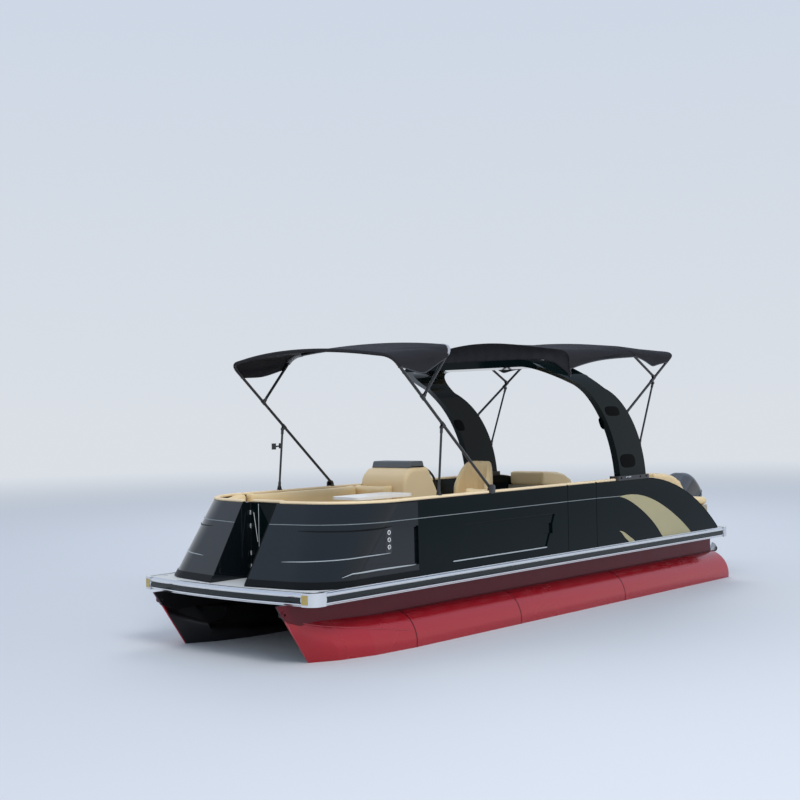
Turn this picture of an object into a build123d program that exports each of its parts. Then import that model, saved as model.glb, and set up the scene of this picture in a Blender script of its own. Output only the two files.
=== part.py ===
from build123d import *
import os
from math import asin, atan2, cos, degrees, hypot, pi, radians, sin, sqrt, tan

os.makedirs("parts", exist_ok=True)

# Frame: x forward, y to port, z up from the keels, all in millimetres.
# Stations are distances forward of the deck's aft edge, which lies at x = aft.
aft = -3122.9
deck_length = 8000.0
half_beam = 1275.0
bow_crown = 110.0
fit_gap = 0.3
swing_gap = 8.0

# Floats
tube_radius = 312.0
tube_y = 912.0
tube_tail = -110.0
tail_round = 55.0
nose_station = 6520.0
keel_width = 60.0
keel_depth = 8.0
keel_ends = (60.0, 6950.0)
# nose, section by section: low point, high point, half width
nose = (
    ((7050.0, 20.0), (7150.0, 655.0), 270.0),
    ((7390.0, 48.0), (7660.0, 688.0), 168.0),
    ((7610.0, 74.0), (8045.0, 712.0), 13.0),
)
lift_eye = (8065.0, 765.0)
lift_eye_boss = 30.0
lift_eye_bore = 14.0
lift_eye_half = 30.0

# Risers, crossmembers and deck
riser_width = 150.0
riser_wall = 6.0
riser_ends = (-90.0, 7900.0)
riser_taper = 7000.0
# raked front end of the risers, low point and high point
riser_stem = ((8048.0, 706.0), (8150.0, 850.0))
crossmember_height = 90.0
crossmember_width = 46.0
crossmember_wall = 5.0
crossmember_count = 20
crossmember_margin = 170.0
deck_thickness = 30.0
deck_top = 970.0

# Rub rail round the deck's edge
rail_reach = 40.0
rail_web = 14.0
rail_lip = 10.0
rail_lip_reach = 14.0
rail_foot_reach = 30.0
rail_foot = 6.0
upper_bead = (22.0, 50.0)
lower_bead = (30.0, 84.0)
corner_length = 150.0
corner_round = 110.0
corner_proud = 4.0

# Fence panels, caps and gates
fence_set_in = 55.0
fence_wall = 45.0
fence_height = 775.0
cap_height = 25.0
bow_seam = 6460.0
bow_foot = 7950.0
bow_head = 7500.0
bow_sweep = 8.5
bow_foot_radius = 470.0
bow_head_radius = 720.0
bow_opening = 500.0
gate_station = 7400.0
gate_thickness = 40.0
side_gate_ends = (3190.0, 3800.0)
tail_drop = 200.0
tail_middle = (1010.0, 1500.0)
tail_crest = 2060.0
skirt_height = 70.0
skirt_proud = 8.0
# scoop in the bow panel: outline in the side view; its floor turns inwards from a station, aft to a deep slot
bow_scoop = ((6460.0, 1098.0), (7450.0, 1200.0), (7560.0, 1562.0), (6460.0, 1490.0))
bow_scoop_start = 7300.0
bow_scoop_turn = 1.2
bow_slot = ((6460.0, 6508.0), (1112.0, 1478.0), 30.0)
lamp_strip = ((6855.0, 6945.0), (1250.0, 1515.0))
lamp_pocket = 16.0
lamp_plate = 9.0
lamp_radius = 27.0
lamp_pitch = 72.0
lamp_proud = 5.0
# scoop in the side panel, and a small pocket at its deep end
side_scoop = ((4060.0, 1440.0), (5700.0, 1440.0), (5910.0, 1075.0), (4235.0, 1075.0))
side_scoop_start = 5800.0
side_scoop_turn = 0.5
side_pocket = ((4115.0, 4280.0), (1220.0, 1340.0), 26.0)
hinge_radius = 6.5
hinge_pin = 3.5
pin_gap = 0.1
hinge_knuckle = 90.0

# Arch
arch_wall = 85.0
arch_top = 3225.0
arch_corner = 430.0
arch_foot = (2050.0, 2650.0)
arch_aft_edge = ((2050.0, 1780.0), (2250.0, 2350.0), (2950.0, 2880.0))
arch_fore_edge = ((2650.0, 1780.0), (2880.0, 2410.0), (3460.0, 2920.0))
arch_crown = (3600.0, 4100.0)
collar_plate = 30.0
collar_lip = 22.0
collar_height = 55.0
collar_ends = (2000.0, 2740.0)

# Canopy frames: tubes, eyes, ears and pins
bow_tube = 16.0
strut_tube = 12.5
eye_radius = 14.0
eye_width = 22.0
ear_width = 5.0
ear_gap = 1.5
jaw_pin = 4.0
jaw_offset = 38.0
jaw_length = 56.0
tube_start = 30.0
corner_bend = 150.0
crown_bend = 3600.0
canvas = 5.0
canvas_gap = 0.5

# Front canopy: stations and heights of its pivots and corners, in the plane of one side
front_mount = (5240.0, 1806.0)
front_corner = (6700.0, 3125.0)
front_rise = 320.0
front_jaw = 1457.0
front_second_corner = (5950.0, 3200.0)
front_second_rise = 350.0
front_strut_jaw = 1035.0
front_strut_foot = (6100.0, 1806.0)
front_drape = 170.0

# Rear canopy
rear_mount_height = 2562.0
rear_mount_reach = 32.0
rear_corner = (1375.0, 3240.0)
rear_rise = 300.0
rear_jaw = 788.0
rear_second_corner = (2200.0, 3285.0)
rear_second_rise = 250.0
rear_strut_jaw = 730.0
rear_strut_height = 2160.0
rear_drape = 165.0
rear_front_rise = 60.0
rear_front_inset = 30.0

# Seats
seat_base_height = 330.0
seat_cushion = 100.0
lounge_ends = (4800.0, 7330.0)
lounge_inner = 570.0
lounge_set_in = 10.0
lounge_back_end = 6700.0
lounge_back = 130.0
corner_back = 110.0
corner_back_end = 640.0
corner_back_top = 1765.0
lounge_back_top = 1785.0
chaise_back = 140.0
base_set_in = 40.0
base_round = 60.0
cushion_round = 28.0
soft_gap = 0.3
stern_lounge_ends = (310.0, 1760.0)
stern_seat_end = 950.0
# side outline of the sloping rest, as steps forward of the stern seat's end and up from the seat's board
rest_slope = ((75.0, 0.0), (360.0, 262.0), (810.0, 300.0))
rest_top = ((810.0, 480.0), (350.0, 450.0), (200.0, 415.0), (90.0, 350.0), (12.0, 235.0), (12.0, 128.0))

# Helm
console_inner = -430.0
console_set_in = 15.0
console_round = 45.0
console_outline = (
    (4160.0, 970.0), (4785.0, 970.0), (4785.0, 1860.0), (4640.0, 1970.0),
    (4330.0, 1970.0), (4100.0, 1560.0), (4100.0, 1500.0), (4160.0, 1440.0),
)
dash_ends = (4362.0, 4620.0)
dash_set_in = 50.0
dash_height = 75.0
wheel_y = -700.0
wheel_radius = 180.0
wheel_rim = 14.0
wheel_reach = 95.0
wheel_hub = 34.0
wheel_spoke_depth = 12.0
wheel_shaft = 12.0
chair_station = 3260.0
chair_y = -640.0
chair_post = 38.0
chair_spigot = 20.0
chair_foot = 150.0
chair_radius = 290.0
chair_pad = 200.0
chair_top = 1990.0
table_centre = (6330.0, 480.0)
table_size = (860.0, 440.0)
table_top = 1772.0
table_thickness = 28.0
table_post = 35.0

# Engine pod and outboard motor; the motor is drawn upright about its tilt axis, then tilted up to park
pod_half = 330.0
pod_fore = 1400.0
pod_floor = 240.0
pod_chine = 400.0
pod_well = ((-30.0, 850.0), (-180.0, 700.0), (-420.0, 560.0), (-630.0, 560.0))
transom_head = (-700.0, 690.0)
transom_lean = 12.0
transom_board = 45.0
tilt_axis = (-752.0, 738.0)
rest_tilt = 38.0
clamp_y = (100.0, 125.0)
clamp_length = 300.0
clamp_depth = 42.0
tilt_pin = 16.0
tilt_eye = 34.0
swivel_half = 94.0
steer_setback = 115.0
sleeve = (45.0, -330.0, -10.0)
arm_drop = 95.0
steer_shaft = 20.0
yoke_gap = 9.0
yoke_height = 32.0
column_setback = 300.0
column = ((250.0, 170.0, 62.0), (230.0, 120.0, -560.0))
blade_strut = (235.0, 46.0, -862.0)
prop_drop = 875.0
# gearcase: distance forward of the tilt axis, radius; the last one is the nose ball
gearcase = ((-560.0, 43.0), (-450.0, 60.0), (-300.0, 62.0), (-190.0, 38.0))
plate_drop = 640.0
plate_thickness = 8.0
cavitation_plate = (430.0, 190.0)
skeg = ((-290.0, -925.0), (-350.0, -1090.0), (-480.0, -1095.0), (-490.0, -925.0))
# cowl: height, forward end, aft end, half width, corner radius
cowl_sections = (
    (62.0, -150.0, -690.0, 165.0, 120.0),
    (160.0, -112.0, -790.0, 225.0, 130.0),
    (360.0, -112.0, -800.0, 235.0, 130.0),
    (550.0, -160.0, -755.0, 200.0, 120.0),
    (635.0, -270.0, -665.0, 115.0, 90.0),
)
prop_radius = 185.0
prop_hub = (44.0, 34.0, -566.0, -685.0)
prop_shaft = 12.0
nut_radius = 19.0
nut_length = 16.0
blade_count = 3
skeg_thickness = 10.0
prop_pitch = 480.0
# blade: distance from the shaft, chord, thickness
blade_sections = ((30.0, 80.0, 14.0), (80.0, 130.0, 12.0), (130.0, 140.0, 9.0), (178.0, 70.0, 5.0))

bow = aft + deck_length
tube_z = tube_radius + keel_depth
deck_bottom = deck_top - deck_thickness
riser_top = deck_bottom - crossmember_height
fence_top = deck_top + fence_height
cap_top = fence_top + cap_height
deck_half = half_beam - rail_reach
bow_radius = (half_beam**2 + bow_crown**2) / (2 * bow_crown)
bow_centre = bow + bow_crown - bow_radius
fence_y = half_beam - fence_set_in
fence_middle = fence_y - fence_wall / 2
rear_y = fence_y - arch_wall / 2
lounge_outer = fence_y - fence_wall - lounge_set_in
console_y = (console_set_in + fence_wall - fence_y, console_inner)
sides = (("port", 1), ("starboard", -1))


def side_plane(y):
    """A plane seen from starboard, with x forward and z up, standing at y."""
    return Plane((0, y, 0), x_dir=(1, 0, 0), z_dir=(0, -1, 0))


def save(piece, name):
    piece.part.label = name
    export_step(piece.part, f"parts/{name}.step")


def lens(half_height, half_width):
    """Two equal arcs back to back, standing on y."""
    with BuildSketch() as shape:
        with BuildLine():
            ThreePointArc((0, -half_height), (half_width, 0), (0, half_height))
            ThreePointArc((0, half_height), (-half_width, 0), (0, -half_height))
        make_face()
    return shape.sketch


def float_body(y, grow):
    """A float: round tube, rounded tail, and a nose that narrows through leaning lenses to a raked stem."""
    root = ((nose_station, keel_depth), (nose_station, keel_depth + 2 * tube_radius), tube_radius)
    with BuildPart() as body:
        with BuildSketch(Plane.YZ.offset(aft + tube_tail)):
            with Locations((y, tube_z)):
                Circle(tube_radius + grow)
        extrude(amount=nose_station - tube_tail)
        fillet(body.edges().sort_by(Axis.X)[0], tail_round)
        for low, high, half_width in (root, *nose):
            rise = (high[0] - low[0], high[1] - low[1])
            height = hypot(*rise)
            middle = (aft + (low[0] + high[0]) / 2, y, (low[1] + high[1]) / 2)
            with BuildSketch(Plane(middle, x_dir=(0, 1, 0), z_dir=(rise[1], 0, -rise[0]))):
                add(lens(height / 2 + grow, half_width + grow))
        loft(ruled=True)
    return body.part


# Floats, with a flat keel strip to stand on
for side, sign in sides:
    with BuildPart() as float_tube:
        add(float_body(sign * tube_y, 0))
        with BuildSketch(Plane.YZ.offset(aft + keel_ends[0])):
            with Locations((sign * tube_y, 0)):
                Rectangle(keel_width, 3 * keel_depth, align=(Align.CENTER, Align.MIN))
        extrude(amount=keel_ends[1] - keel_ends[0])
    save(float_tube, f"{side}_float")

def polygon(*points):
    with BuildSketch() as area:
        with BuildLine():
            Polyline(*points, close=True)
        make_face()
    return area.sketch


def riser_plan(wall):
    """Plan of the port riser, set in by a wall: straight, then tapered to the stem."""
    half, (head, _) = riser_width / 2, riser_stem[1]
    tip = nose[-1][2]
    end = head if wall == 0 else riser_ends[1]
    end_half = half - (half - tip) * (end - riser_taper) / (head - riser_taper) - wall
    start, taper, end = aft + riser_ends[0], aft + riser_taper, aft + end
    return polygon(
        (start, tube_y - half + wall),
        (taper, tube_y - half + wall),
        (end, tube_y - end_half),
        (end, tube_y + end_half),
        (taper, tube_y + half - wall),
        (start, tube_y + half - wall),
    )


# Risers: inverted channels welded along the floats' tops, under the crossmembers. Each closes to a point over
# the stem, with a bored lifting eye through it.
with BuildPart() as risers:
    with BuildSketch(Plane.XY.offset(tube_z)):
        add(riser_plan(0))
    extrude(amount=riser_top - tube_z)
    with BuildSketch(side_plane(tube_y + riser_width)):
        add(polygon(
            (aft, riser_top),
            (aft, tube_z),
            (aft + riser_taper, tube_z),
            (aft + riser_stem[0][0], riser_stem[0][1]),
            (aft + riser_stem[1][0], riser_stem[1][1]),
        ))
    extrude(amount=2 * riser_width, mode=Mode.INTERSECT)
    with BuildSketch(Plane.XY.offset(tube_z)):
        add(riser_plan(riser_wall))
    extrude(amount=riser_top - riser_wall - tube_z, mode=Mode.SUBTRACT)
    add(float_body(tube_y, fit_gap), mode=Mode.SUBTRACT)
    for radius, mode in ((lift_eye_boss, Mode.ADD), (lift_eye_bore, Mode.SUBTRACT)):
        with BuildSketch(side_plane(tube_y)):
            with Locations((aft + lift_eye[0], lift_eye[1])):
                Circle(radius)
        extrude(amount=lift_eye_half, both=True, mode=mode)
    mirror(about=Plane.XZ)
save(risers, "risers")

# Crossmembers: equal channels from side to side
crossmember_half = deck_half - rail_reach
crossmember_span = deck_length - 2 * crossmember_margin
with BuildPart() as crossmembers:
    with BuildSketch(side_plane(crossmember_half)):
        middle = (aft + deck_length / 2, deck_bottom - crossmember_height / 2)
        with Locations(middle):
            with GridLocations(crossmember_span / (crossmember_count - 1), 1, crossmember_count, 1):
                Rectangle(crossmember_width, crossmember_height)
        with Locations((middle[0] + crossmember_wall, middle[1])):
            with GridLocations(crossmember_span / (crossmember_count - 1), 1, crossmember_count, 1):
                Rectangle(
                    crossmember_width,
                    crossmember_height - 2 * crossmember_wall,
                    mode=Mode.SUBTRACT,
                )
    extrude(amount=2 * crossmember_half)
save(crossmembers, "crossmembers")


def deck_outline(grow, rounding=0):
    """The deck's outline in plan, grown outwards: straight sides, a bowed front edge."""
    reach = bow_radius - rail_reach + grow
    half = deck_half + grow
    corner_x = bow_centre + sqrt(reach**2 - half**2)
    tail_x = aft + rail_reach - grow
    with BuildSketch() as outline:
        with BuildLine():
            Polyline((corner_x, half), (tail_x, half), (tail_x, -half), (corner_x, -half))
            ThreePointArc((corner_x, -half), (bow_centre + reach, 0), (corner_x, half))
        make_face()
        if rounding:
            fillet(outline.vertices(), rounding)
    return outline.sketch


with BuildPart() as deck:
    with BuildSketch(Plane.XY.offset(deck_bottom)):
        add(deck_outline(0))
    extrude(amount=deck_thickness)
save(deck, "deck")


def rail_section():
    """The rub rail's section: x outwards from the deck's edge, y up from the rail's foot."""
    height = deck_top + rail_lip - riser_top
    with BuildSketch() as section:
        Rectangle(rail_web, height, align=Align.MIN)
        with Locations((-rail_lip_reach, height - rail_lip)):
            Rectangle(rail_lip_reach + rail_web, rail_lip, align=Align.MIN)
        with Locations((-rail_foot_reach, 0)):
            Rectangle(rail_foot_reach + rail_web, rail_foot, align=Align.MIN)
        with Locations((rail_web / 2, height - upper_bead[1] / 2 - rail_foot)):
            Ellipse(rail_reach - rail_web / 2, upper_bead[1] / 2)
        with Locations((rail_web / 2, lower_bead[0] / 2 + rail_foot)):
            Ellipse(rail_reach - rail_web, lower_bead[0] / 2)
        with Locations((0, rail_foot)):
            Rectangle(
                2 * rail_reach,
                height - rail_lip - rail_foot,
                align=(Align.MAX, Align.MIN),
                mode=Mode.SUBTRACT,
            )
    return section.sketch


# Four lengths of rail: two sides, the bowed bow and the stern
rail_run = half_beam - corner_length
bow_swing = asin(rail_run / bow_radius)
bow_edge = bow_radius - rail_reach
outwards = (cos(bow_swing), -sin(bow_swing), 0)
bow_start = (bow_centre + bow_edge * outwards[0], bow_edge * outwards[1], riser_top)
with BuildPart() as rub_rails:
    for sign in (1, -1):
        side_start = (aft + corner_length, sign * deck_half, riser_top)
        with BuildSketch(Plane(side_start, x_dir=(0, sign, 0), z_dir=(sign, 0, 0))):
            add(rail_section())
        extrude(amount=sign * (deck_length - 2 * corner_length))
    with BuildSketch(Plane((aft + rail_reach, rail_run, riser_top), x_dir=(-1, 0, 0), z_dir=(0, 1, 0))):
        add(rail_section())
    extrude(amount=-2 * rail_run)
    with BuildSketch(Plane(bow_start, x_dir=outwards, z_dir=(outwards[1], -outwards[0], 0))):
        add(rail_section())
    revolve(axis=Axis((bow_centre, 0, 0), (0, 0, 1)), revolution_arc=2 * degrees(bow_swing))
save(rub_rails, "rub_rails")

# Corner caps of the rail, rounded, over the deck's four corners
rail_top = deck_top + rail_lip
with BuildPart() as corner_caps:
    corner_boxes = [(x, y) for x in (aft, bow) for y in (-half_beam, half_beam)]
    for z, inner, height in ((riser_top, 0, rail_top - riser_top), (deck_top, -rail_lip_reach, rail_lip)):
        with BuildSketch(Plane.XY.offset(z)):
            add(deck_outline(rail_reach + corner_proud, corner_round))
            add(deck_outline(inner), mode=Mode.SUBTRACT)
            with Locations((aft + deck_length / 2, 0)):
                Rectangle(deck_length - 2 * corner_length, 4 * half_beam, mode=Mode.SUBTRACT)
                Rectangle(2 * deck_length, 2 * (half_beam - corner_length), mode=Mode.SUBTRACT)
        extrude(amount=height)
save(corner_caps, "rail_corner_caps")


def bow_level(height):
    """Front station and corner radius of the raked bow wall at a height."""
    share = (height - deck_top) / fence_height
    return (
        bow_foot + (bow_head - bow_foot) * share,
        bow_foot_radius + (bow_head_radius - bow_foot_radius) * share,
    )


def bow_line(front, radius, out, seam):
    """Corners and radius of a plan line round the port bow, so far out from the fence's outer face."""
    lean = radians(bow_sweep)
    y = fence_y + out
    apex = front + out / cos(lean) - (y - bow_opening / 2) * tan(lean)
    return ((aft + seam, y), (aft + apex, y), (aft + front + out / cos(lean), bow_opening / 2)), radius + out


def bow_wall(front, radius, out=0, wall=fence_wall, seam=bow_seam):
    """Plan section of the port bow wall, from the side seam round to the bow opening."""
    outer, outer_radius = bow_line(front, radius, out, seam)
    inner, inner_radius = bow_line(front, radius, out - wall, seam)
    with BuildSketch() as area:
        with BuildLine():
            FilletPolyline(*outer, radius=outer_radius)
            Line(outer[-1], inner[-1])
            FilletPolyline(*reversed(inner), radius=inner_radius)
            Line(inner[0], outer[0])
        make_face()
    return area.sketch


def bow_block(front, radius, out=0, seam=bow_seam):
    """Plan of all that lies inboard of such a line, as far as the bow opening."""
    line, corner = bow_line(front, radius, out, seam)
    with BuildSketch() as area:
        with BuildLine():
            FilletPolyline(*line, radius=corner)
            Polyline(line[-1], (line[0][0], line[-1][1]), line[0])
        make_face()
    return area.sketch


def bow_shell(low, high, section, **sizes):
    """A piece of the raked bow between two heights, from its section in plan."""
    with BuildPart() as shell:
        for height in (low, high):
            with BuildSketch(Plane.XY.offset(height)):
                add(section(*bow_level(height), **sizes))
        loft(ruled=True)
    return shell.part


def bow_side_prism(outline, depth):
    """What lies outboard of a depth in the bow panel's flat side, over a side outline."""
    with BuildPart() as prism:
        with BuildSketch(side_plane(fence_y + fence_wall)):
            add(outline)
        extrude(amount=fence_wall + depth)
    return prism.part


def rectangle_between(stations, heights):
    with BuildSketch() as area:
        with Locations((aft + stations[0], heights[0])):
            Rectangle(stations[1] - stations[0], heights[1] - heights[0], align=Align.MIN)
    return area.sketch


def placed(point):
    return (aft + point[0], point[1])


# Bow panels: raked walls with wide round corners and a cheek back to the gate. A scoop deepens aft along
# each side to a slot at the seam, and a shallow pocket takes the docking lights.
cheek_start = gate_station + hinge_radius
hinge_line = (aft + bow_scoop_start, fence_y)
scoop_floor = bow_shell(deck_top, fence_top, bow_block, seam=bow_seam - 2 * fence_wall)
scoop_floor = Pos(*hinge_line) * Rot(0, 0, bow_scoop_turn) * Pos(-hinge_line[0], -hinge_line[1]) * scoop_floor
for side, sign in sides:
    with BuildPart() as scoop:
        add(bow_side_prism(polygon(*(placed(point) for point in bow_scoop)), bow_opening))
        add(scoop_floor, mode=Mode.SUBTRACT)
    with BuildPart() as bow_panel:
        add(bow_shell(deck_top, fence_top, bow_wall))
        with BuildSketch(side_plane(bow_opening / 2 + fence_wall)):
            add(polygon(
                (aft + cheek_start, deck_top),
                (aft + bow_foot - fence_wall / 2, deck_top),
                (aft + bow_head - fence_wall / 2, fence_top),
                (aft + cheek_start, fence_top),
            ))
        extrude(amount=fence_wall)
        add(scoop.part, mode=Mode.SUBTRACT)
        add(bow_side_prism(rectangle_between(*bow_slot[:2]), bow_slot[2]), mode=Mode.SUBTRACT)
        add(bow_side_prism(rectangle_between(*lamp_strip), lamp_pocket), mode=Mode.SUBTRACT)
        if sign < 0:
            mirror(about=Plane.XZ, mode=Mode.REPLACE)
    save(bow_panel, f"{side}_bow_panel")

# Skirts: plain strips round the foot of the bow panels
with BuildPart() as bow_skirts:
    add(bow_shell(
        deck_top + rail_lip + fit_gap,
        deck_top + skirt_height,
        bow_wall,
        out=skirt_proud,
        wall=skirt_proud - fit_gap,
    ))
    mirror(about=Plane.XZ)
save(bow_skirts, "bow_skirts")

# Docking lights: a plate with three round lamps, let into each bow panel
lamp_back = fence_y - lamp_pocket + fit_gap
lamp_middle = (aft + sum(lamp_strip[0]) / 2, sum(lamp_strip[1]) / 2)
with BuildPart() as docking_lights:
    with BuildSketch(side_plane(lamp_back)):
        with Locations(lamp_middle):
            RectangleRounded(
                lamp_strip[0][1] - lamp_strip[0][0] - 2 * fit_gap,
                lamp_strip[1][1] - lamp_strip[1][0] - 2 * fit_gap,
                lamp_radius / 2,
            )
    extrude(amount=-lamp_plate)
    with BuildSketch(side_plane(lamp_back)):
        with Locations(lamp_middle):
            with GridLocations(1, lamp_pitch, 1, 3):
                Circle(lamp_radius)
    extrude(amount=-lamp_plate - lamp_proud)
    mirror(about=Plane.XZ)
save(docking_lights, "docking_lights")


def side_wall(sign, outline, thickness=fence_wall):
    """A straight length of fence, from its outline seen from the side."""
    with BuildPart() as wall:
        with BuildSketch(side_plane(sign * fence_middle)):
            add(outline)
        extrude(amount=thickness / 2, both=True)
    return wall


def tail_outline(end):
    """The aft panel's outline: its top falls in one long curve to the deck."""
    with BuildSketch() as area:
        with BuildLine():
            Polyline(
                (aft + tail_crest, fence_top),
                (aft + end, fence_top),
                (aft + end, deck_top),
                (aft + tail_drop, deck_top),
            )
            ThreePointArc(
                (aft + tail_drop, deck_top),
                (aft + tail_middle[0], tail_middle[1]),
                (aft + tail_crest, fence_top),
            )
        make_face()
    return area.sketch


# Side panels: the port side has a gate, the starboard side runs through
aft_end, fore_start = side_gate_ends
heights = (deck_top, fence_top)
cap_heights = (fence_top, cap_top)
scoop_foot = (aft + side_scoop_start, fence_y, 0)
for side, sign in sides:
    fore_from = fore_start if sign > 0 else aft_end
    with BuildPart() as scoop:
        with BuildSketch(side_plane(fence_y + fence_wall)):
            add(polygon(*(placed(point) for point in side_scoop)))
        extrude(amount=2 * fence_wall)
        with BuildSketch(Plane(scoop_foot, x_dir=(-1, 0, 0), z_dir=(0, 0, 1)).rotated((0, 0, side_scoop_turn))):
            Rectangle(side_scoop_start, 2 * fence_wall, align=(Align.MIN, Align.MAX))
        extrude(amount=fence_top, mode=Mode.INTERSECT)
        add(bow_side_prism(rectangle_between(*side_pocket[:2]), side_pocket[2]))
        if sign < 0:
            mirror(about=Plane.XZ, mode=Mode.REPLACE)
    with BuildPart() as side_panel:
        add(side_wall(sign, rectangle_between((fore_from, bow_seam), heights)).part)
        add(scoop.part, mode=Mode.SUBTRACT)
    save(side_panel, f"{side}_side_panel")
    save(side_wall(sign, tail_outline(aft_end)), f"{side}_aft_panel")
    with BuildPart() as fence_cap:
        with BuildSketch(side_plane(fence_middle)):
            add(rectangle_between((fore_from, bow_seam), cap_heights))
            add(rectangle_between((collar_ends[1], aft_end), cap_heights))
        extrude(amount=fence_wall / 2, both=True)
        with BuildSketch(Plane.XY.offset(fence_top)):
            add(bow_wall(*bow_level(fence_top)))
            with Locations((aft + cheek_start, bow_opening / 2)):
                Rectangle(bow_head - cheek_start - fence_wall / 2, fence_wall, align=Align.MIN)
        extrude(amount=cap_height)
        if sign < 0:
            mirror(about=Plane.XZ, mode=Mode.REPLACE)
    save(fence_cap, f"{side}_fence_cap")

# Gates: each opens inwards about pins held by fixed knuckles on the fence
gate_bottom = deck_top + swing_gap
leaf_wall = 3.0
leaf_reach = 36.0
knuckle_inset = 130.0
inner_face = fence_y - fence_wall
side_hinge = (aft + aft_end + swing_gap / 2, inner_face - hinge_radius - pin_gap)
bow_hinge = (aft + gate_station + hinge_radius / 2, -bow_opening / 2 + hinge_radius + pin_gap)
knuckle_starts = (gate_bottom + knuckle_inset, fence_top - knuckle_inset - hinge_knuckle)


def leaf(low, high):
    """A hinge leaf in plan, between two corners."""
    with BuildSketch() as area:
        with Locations(low):
            Rectangle(high[0] - low[0], high[1] - low[1], align=Align.MIN)
    return area.sketch


def knuckle(centre, plate, start, length, hole):
    """One vertical knuckle with its leaf, bored to a radius."""
    with BuildPart() as piece:
        with BuildSketch(Plane.XY.offset(start)):
            with Locations(centre):
                Circle(hinge_radius)
            add(plate)
            with Locations(centre):
                Circle(hole, mode=Mode.SUBTRACT)
        extrude(amount=length)
    return piece.part


def fixed_hinge(centre, plate):
    """Pins, and the fixed knuckles that hold them above and below each gate knuckle."""
    with BuildPart() as piece:
        for start in knuckle_starts:
            for low in (start - hinge_knuckle / 2 - 1, start + hinge_knuckle + 1):
                with BuildSketch(Plane.XY.offset(low)):
                    with Locations(centre):
                        Circle(hinge_radius)
                    add(plate)
                extrude(amount=hinge_knuckle / 2)
            with BuildSketch(Plane.XY.offset(start - 2)):
                with Locations(centre):
                    Circle(hinge_pin)
            extrude(amount=hinge_knuckle + 4)
    return piece.part


gate_ends = (aft_end + swing_gap, fore_start - swing_gap)
with BuildPart() as side_gate:
    add(side_wall(1, rectangle_between(gate_ends, (gate_bottom, fence_top))).part)
    moving_leaf = leaf(
        (side_hinge[0] + swing_gap / 2, inner_face - leaf_wall), (side_hinge[0] + leaf_reach, inner_face)
    )
    link = leaf(
        (side_hinge[0], inner_face - leaf_wall - 2), (side_hinge[0] + swing_gap, inner_face - 1)
    )
    for start in knuckle_starts:
        add(knuckle(side_hinge, moving_leaf + link, start, hinge_knuckle, hinge_pin + pin_gap))
save(side_gate, "side_gate")
save(side_wall(1, rectangle_between(gate_ends, cap_heights)), "side_gate_cap")

gate_half = bow_opening / 2 - 2 * hinge_radius - 2 * pin_gap
gate_back = aft + gate_station - gate_thickness
with BuildPart() as bow_gate:
    with BuildSketch(Plane.XY.offset(gate_bottom)):
        add(leaf((gate_back, -gate_half), (aft + gate_station, bow_opening / 2 - swing_gap)))
    extrude(amount=fence_top - gate_bottom)
    moving_leaf = leaf(
        (aft + gate_station - leaf_wall, bow_hinge[1]), (aft + gate_station, -gate_half + leaf_reach)
    )
    for start in knuckle_starts:
        add(knuckle(bow_hinge, moving_leaf, start, hinge_knuckle, hinge_pin + pin_gap))
save(bow_gate, "bow_gate")
with BuildPart() as bow_gate_cap:
    with BuildSketch(Plane.XY.offset(fence_top)):
        add(leaf((gate_back, -gate_half), (aft + gate_station, bow_opening / 2 - swing_gap)))
    extrude(amount=cap_height)
save(bow_gate_cap, "bow_gate_cap")

with BuildPart() as gate_hinges:
    add(fixed_hinge(side_hinge, leaf(
        (side_hinge[0] - leaf_reach, inner_face - leaf_wall), (side_hinge[0] - swing_gap / 2, inner_face)
    ) + leaf((side_hinge[0] - swing_gap, inner_face - leaf_wall - 2), (side_hinge[0], inner_face - 1))))
    add(fixed_hinge(bow_hinge, leaf(
        (bow_hinge[0], -bow_opening / 2), (bow_hinge[0] + leaf_reach, -bow_opening / 2 + leaf_wall)
    )))
save(gate_hinges, "gate_hinges")

# Arch: the overlap of a wide inverted U, seen from the front, and a raked blade, seen from the side
arch_base = fence_top + collar_plate
with BuildPart() as arch:
    with BuildSketch(side_plane(0)):
        with BuildLine():
            aft_points = [(aft + x, z) for x, z in arch_aft_edge]
            fore_points = [(aft + x, z) for x, z in arch_fore_edge]
            ThreePointArc(*aft_points)
            Polyline(
                aft_points[2],
                (aft + arch_crown[0], arch_top),
                (aft + arch_crown[1], arch_top),
                (aft + arch_crown[1], arch_top - arch_wall),
                fore_points[2],
            )
            ThreePointArc(*reversed(fore_points))
            Line(fore_points[0], aft_points[0])
        make_face()
    extrude(amount=fence_y, both=True)
    with BuildSketch(Plane.YZ.offset(aft)) as portal:
        with Locations((0, arch_base)):
            Rectangle(2 * fence_y, arch_top - arch_base, align=(Align.CENTER, Align.MIN))
        fillet(portal.vertices().group_by(Axis.Y)[-1], arch_corner)
        with BuildSketch(mode=Mode.PRIVATE) as inside:
            with Locations((0, arch_base - arch_wall)):
                Rectangle(2 * (fence_y - arch_wall), arch_top - arch_base, align=(Align.CENTER, Align.MIN))
            fillet(inside.vertices().group_by(Axis.Y)[-1], arch_corner - arch_wall)
        add(inside.sketch, mode=Mode.SUBTRACT)
    extrude(amount=deck_length, mode=Mode.INTERSECT)
save(arch, "arch")

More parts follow.
